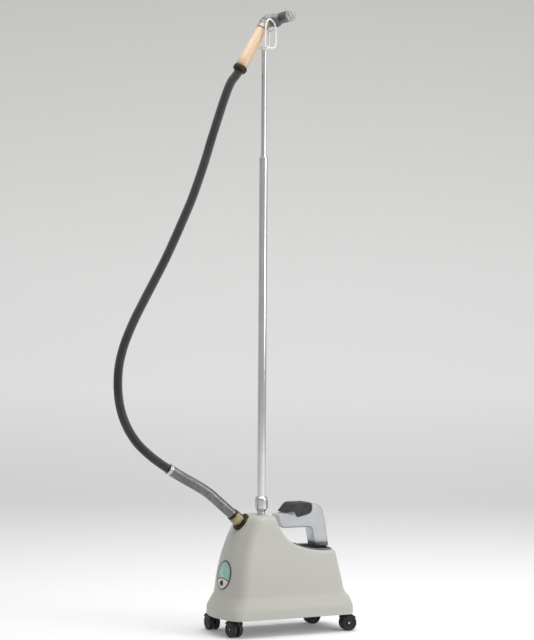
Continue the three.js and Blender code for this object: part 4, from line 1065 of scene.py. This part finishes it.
# painted shade: below 262 mm the clear plastic is tinted dark grey where the bottle stands down in the well
painted_shade_top = 262 * mm
painted_bottle_foot_shade = in_range(tree,
                     node(tree, "SeparateXYZ", {0: node(tree, "TexCoord").outputs["Object"]}).outputs["Z"],
                     painted_shade_top, painted_shade_top + 3 * mm, 1.0, 0.0)
haze = blended(tree, painted_bottle_foot_shade, haze, (0.34, 0.34, 0.35, 1))
tree.links.new(blended(tree, worn["Worn"], haze, (0.95, 0.95, 0.95, 1)), shader.inputs["Base Color"])
tree.links.new(in_range(tree, spots["Patch"], 0.3, 0.7, 0.1, 0.22), shader.inputs["Roughness"])
raised = node(tree, "Bump", {"Height": spots["Patch"], "Strength": 0.15, "Distance": 0.002})
tree.links.new(raised.outputs[0], shader.inputs["Normal"])
side_turn = Matrix(((0, 0, 1, 0), (1, 0, 0, 0), (0, 1, 0, 0), (0, 0, 0, 1)))


def rounded_corners(corners, steps=8):
    """An outline of (x, y, reach) corners in millimetres, each rounded over its own reach."""
    out = []
    for i, (x, y, reach) in enumerate(corners):
        here = np.array((x, y), float)
        before = np.array(corners[i - 1][:2], float) - here
        after = np.array(corners[(i + 1) % len(corners)][:2], float) - here
        a = here + before / np.linalg.norm(before) * reach
        b = here + after / np.linalg.norm(after) * reach
        for t in np.linspace(0, 1, steps):
            out.append(tuple(((1 - t) ** 2 * a + 2 * t * (1 - t) * here + t**2 * b) * mm))
    return out


handle_outline = rounded_corners([
    (112, 250, 7), (158, 250, 7), (146, 335, 20), (134, 373, 16), (108, 383, 9), (90, 381, 8), (40, 380, 9),
    (20, 357, 8), (-16, 352, 9), (-1, 311, 9), (101, 311, 12)])
handle_width = 50 * mm
wall_in = 2 * mm
bottle = slab("water_bottle_clear", rounded_box(-56 * mm, 33 * mm, 56 * mm, 147 * mm, 17 * mm), 122 * mm,
              240 * mm,
              8 * mm, clear_plastic)
arm = slab("arm_outer", handle_outline, -handle_width / 2, handle_width / 2, 3.4 * mm, clear_plastic,
           side_turn)
throat = slab("throat_outer", rounded_box(-18 * mm, 120 * mm, 18 * mm, 144 * mm, 6 * mm), 236 * mm,
              258 * mm, 0)
neck = turned("neck_outer", [(0, 105 * mm), (26.5 * mm, 105 * mm), (26.5 * mm, 126 * mm), (0, 126 * mm)],
              None,
              Matrix.Translation((0, 90 * mm, 0)), soft=0)
carved(bottle, [arm, throat, neck], "UNION", 50)
hollow = slab("tank_inner", rounded_box(-54 * mm, 35 * mm, 54 * mm, 145 * mm, 15 * mm), 124 * mm, 238 * mm,
              7 * mm)
arm = slab("arm_inner", [tuple(p) for p in pulled_in(handle_outline, wall_in)], -handle_width / 2 + wall_in,
           handle_width / 2 - wall_in, 1.4 * mm, None, side_turn)
throat = slab("throat_inner", rounded_box(-16 * mm, 122 * mm, 16 * mm, 142 * mm, 4 * mm), 234 * mm,
              260 * mm, 0)
neck = turned("neck_inner", [(0, 104 * mm), (24.5 * mm, 104 * mm), (24.5 * mm, 128 * mm), (0, 128 * mm)],
              None,
              Matrix.Translation((0, 90 * mm, 0)), soft=0)
carved(bottle, [hollow, arm, throat, neck], "DIFFERENCE", 50)
bottle.data.materials.clear()
bottle.data.materials.append(clear_plastic)
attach(bottle, "bottle")
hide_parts("water_bottle")
fair_copy("bottle_screw_cap", "bottle_cap", dark_plastic, "bottle", 0.5 * mm)
grip_outline = rounded_corners([
    (7, 357, 4), (20, 358, 4), (40, 360, 5), (46, 341, 6), (90, 351, 7), (99, 361, 5), (98, 386, 11),
    (33, 386, 9)])
grip = slab("bottle_soft_grip", grip_outline, -29.6 * mm, 29.6 * mm, 0.5 * mm, black_rubber, side_turn)
seat = slab("grip_seat", [tuple(p) for p in pulled_in(handle_outline, -0.5 * mm)], -25.5 * mm, 25.5 * mm,
            0, None,
            side_turn)
carved(grip, [seat], "DIFFERENCE", 35)
reskinned(grip, 1.1 * mm, 14)
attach(grip, "bottle")
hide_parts("bottle_grip")

# ---------------------------------------------------------------- casters
# Four black nylon twin-wheel casters, each with its stem pushed up into the floor plate. Every wheel has
# a crowned tread, a recessed web and a hub cap over the axle's end.
caster_nylon = moulded("caster_nylon", (0.008, 0.008, 0.008), (0.012, 0.012, 0.0125), 0.5, grain=0.0005,
                       rub=0.15,
                       dust=0.07, low=0.0, high=0.02, Specular_IOR_Level=0.35)
wheel_radius = 24 * mm
hub_at = (18 * mm, 0, wheel_radius)
hub_arc = [(18 + 9 * math.cos(a), 24 + 9 * math.sin(a)) for a in np.linspace(1.15 * math.pi, 2.1 * math.pi,
                                                                             16)]
web_outline = [(-8, 45), (-8, 40), *hub_arc, (24, 49.5), (8, 50)]
fender_arc = np.linspace(0.2 * math.pi, 0.8 * math.pi, 24)
fender_outline = [(18 + 27 * math.cos(a), 24 + 27 * math.sin(a)) for a in fender_arc]
fender_outline += [(18 + 25 * math.cos(a), 24 + 25 * math.sin(a)) for a in fender_arc[::-1]]
caster_at = {
    "front_left": (-80, -175, 180), "front_right": (80, -175, 190), "rear_left": (-80, 175, -92),
    "rear_right": (80, 175, 80)}
for corner_name, (x, y, heading) in caster_at.items():
    caster_place = Matrix.Translation((x * mm, y * mm, 0)) @ Matrix.Rotation(math.radians(heading), 4, "Z")
    upright = caster_place @ Matrix.Rotation(math.radians(90), 4, "X")
    yoke = slab(f"caster_fork_{corner_name}", [(px * mm, pz * mm) for px, pz in web_outline], -3.5 * mm,
                3.5 * mm,
                0.6 * mm, caster_nylon, upright)
    fender = slab("fender", [(px * mm, pz * mm) for px, pz in fender_outline], -18 * mm, 18 * mm, 0.7 * mm,
                  caster_nylon, upright)
    stem = turned("stem", [(0, 46.8 * mm), (9 * mm, 46.8 * mm), (9 * mm, 52.4 * mm), (5.5 * mm, 52.6 * mm),
                           (5.5 * mm, 79 * mm), (4.5 * mm, 80 * mm), (0, 80 * mm)], caster_nylon,
                           caster_place, 32)
    carved(yoke, [fender, stem], "UNION")
    axle_cut = turned("axle_cut", [(0, -20 * mm), (3.3 * mm, -20 * mm), (3.3 * mm, 20 * mm), (0, 20 * mm)],
                      None,
                      caster_place @ Matrix.Translation(hub_at) @ Matrix.Rotation(math.pi / 2, 4, "X"), 24,
                      0)
    carved(yoke, [axle_cut])
    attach(yoke, f"caster_{corner_name}")
    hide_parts(f"caster_yoke_{corner_name}")
    for letter, side in (("a", -1), ("b", 1)):
        wheel_place = (caster_place @ Matrix.Translation(hub_at) @ Matrix.Rotation(-side * math.pi / 2, 4,
                                                                                   "X")
                       @ Matrix.Translation((0, 0, 4 * mm)))
        wheel = turned(f"wheel_{corner_name}_{letter}", [
            (3.3 * mm, 0), (9 * mm, 0), (10 * mm, 2 * mm), (18.5 * mm, 2 * mm), (19.5 * mm, 0),
            (22.8 * mm, 0.3 * mm),
            (24 * mm, 2 * mm), (24 * mm, 10 * mm), (22.6 * mm, 12.6 * mm), (20.6 * mm, 13.6 * mm),
            (18.2 * mm, 14 * mm),
            (17 * mm, 12.4 * mm), (9 * mm, 11.6 * mm), (8 * mm, 13.6 * mm), (6.4 * mm, 14 * mm),
            (3.3 * mm, 13.6 * mm)],
            caster_nylon, wheel_place, 48, 0.6 * mm)
        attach(wheel, f"wheel_{corner_name}_{letter}")
        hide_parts(f"caster_wheel_{corner_name}_{letter}")

# ---------------------------------------------------------------- floor plate, lead gland and the works
# The zinc-plated floor plate carries the casters and is held by four screws. Over it stand the boiler
# with its element, the pole's stay, the feed valve under the bottle and the pipes between them.
zinc = metal("zinc_plate", (0.5, 0.51, 0.52), (0.36, 0.37, 0.38), 0.42, patch=0.01, grain=0.0012, rub=0.4)
fair_copy("floor_plate", "base_plate", zinc, "base", 0.5 * mm)
gland = turned("lead_gland", [
    (3.6 * mm, -14 * mm), (8 * mm, -14 * mm), (8 * mm, 2 * mm), (12 * mm, 2 * mm), (12 * mm, 4.6 * mm),
    (10.4 * mm, 6 * mm),
    (8.4 * mm, 8.6 * mm), (8.8 * mm, 9.8 * mm), (7.4 * mm, 11.2 * mm), (7.8 * mm, 12.4 * mm),
    (6.4 * mm, 13.8 * mm),
    (6.8 * mm, 15 * mm), (5.5 * mm, 16.6 * mm), (5.5 * mm, 20 * mm), (3.6 * mm, 20 * mm)], black_rubber,
    gland_frame,
    48, 0.5 * mm)
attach(gland, "base")
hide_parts("cord_gland")
copper = metal("copper_pipe", (0.55, 0.26, 0.15), (0.3, 0.16, 0.12), 0.35, patch=0.015)
boiler_metal = metal("boiler_aluminium", (0.42, 0.43, 0.44), (0.3, 0.305, 0.31), 0.4, patch=0.02)
silicone = moulded("silicone_tube", (0.55, 0.57, 0.54), (0.5, 0.52, 0.5), 0.5, grain=0.002, bump=0.05)
red_rubber = moulded("red_rubber", (0.27, 0.05, 0.035), (0.22, 0.045, 0.03), 0.65)
cream_block = moulded("cream_thermoset", (0.68, 0.64, 0.52), (0.62, 0.58, 0.47), 0.5, grain=0.0009)
works = {
    "pole_stay": (plated_steel, "plated_steel"), "boiler_tank": (boiler_metal, "head_metal"),
    "heating_element": (plated_steel, "plated_steel"), "steam_pipe": (copper, "copper_tube"),
    "thermostat": (dark_plastic, "dark_plastic"), "terminal_block": (cream_block, "ceramic_block"),
    "feed_tube": (silicone, "silicone"), "feed_valve_post": (brass, "outlet_brass"),
    "upper_pole_glide": (dipped_white, "wire_white"), "cap_gasket": (red_rubber, "red_rubber"),
    "cap_plunger": (brass, "outlet_brass")}
for screw in range(1, 5):
    works[f"base_screw_{screw}"] = (plated_steel, "plated_steel")
for corner_name in caster_at:
    works[f"caster_axle_{corner_name}"] = (plated_steel, "plated_steel")
for cad_node, (finish, slot_name) in works.items():
    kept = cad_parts[cad_node]
    kept.data.materials.clear()
    kept.data.materials.append(finish)
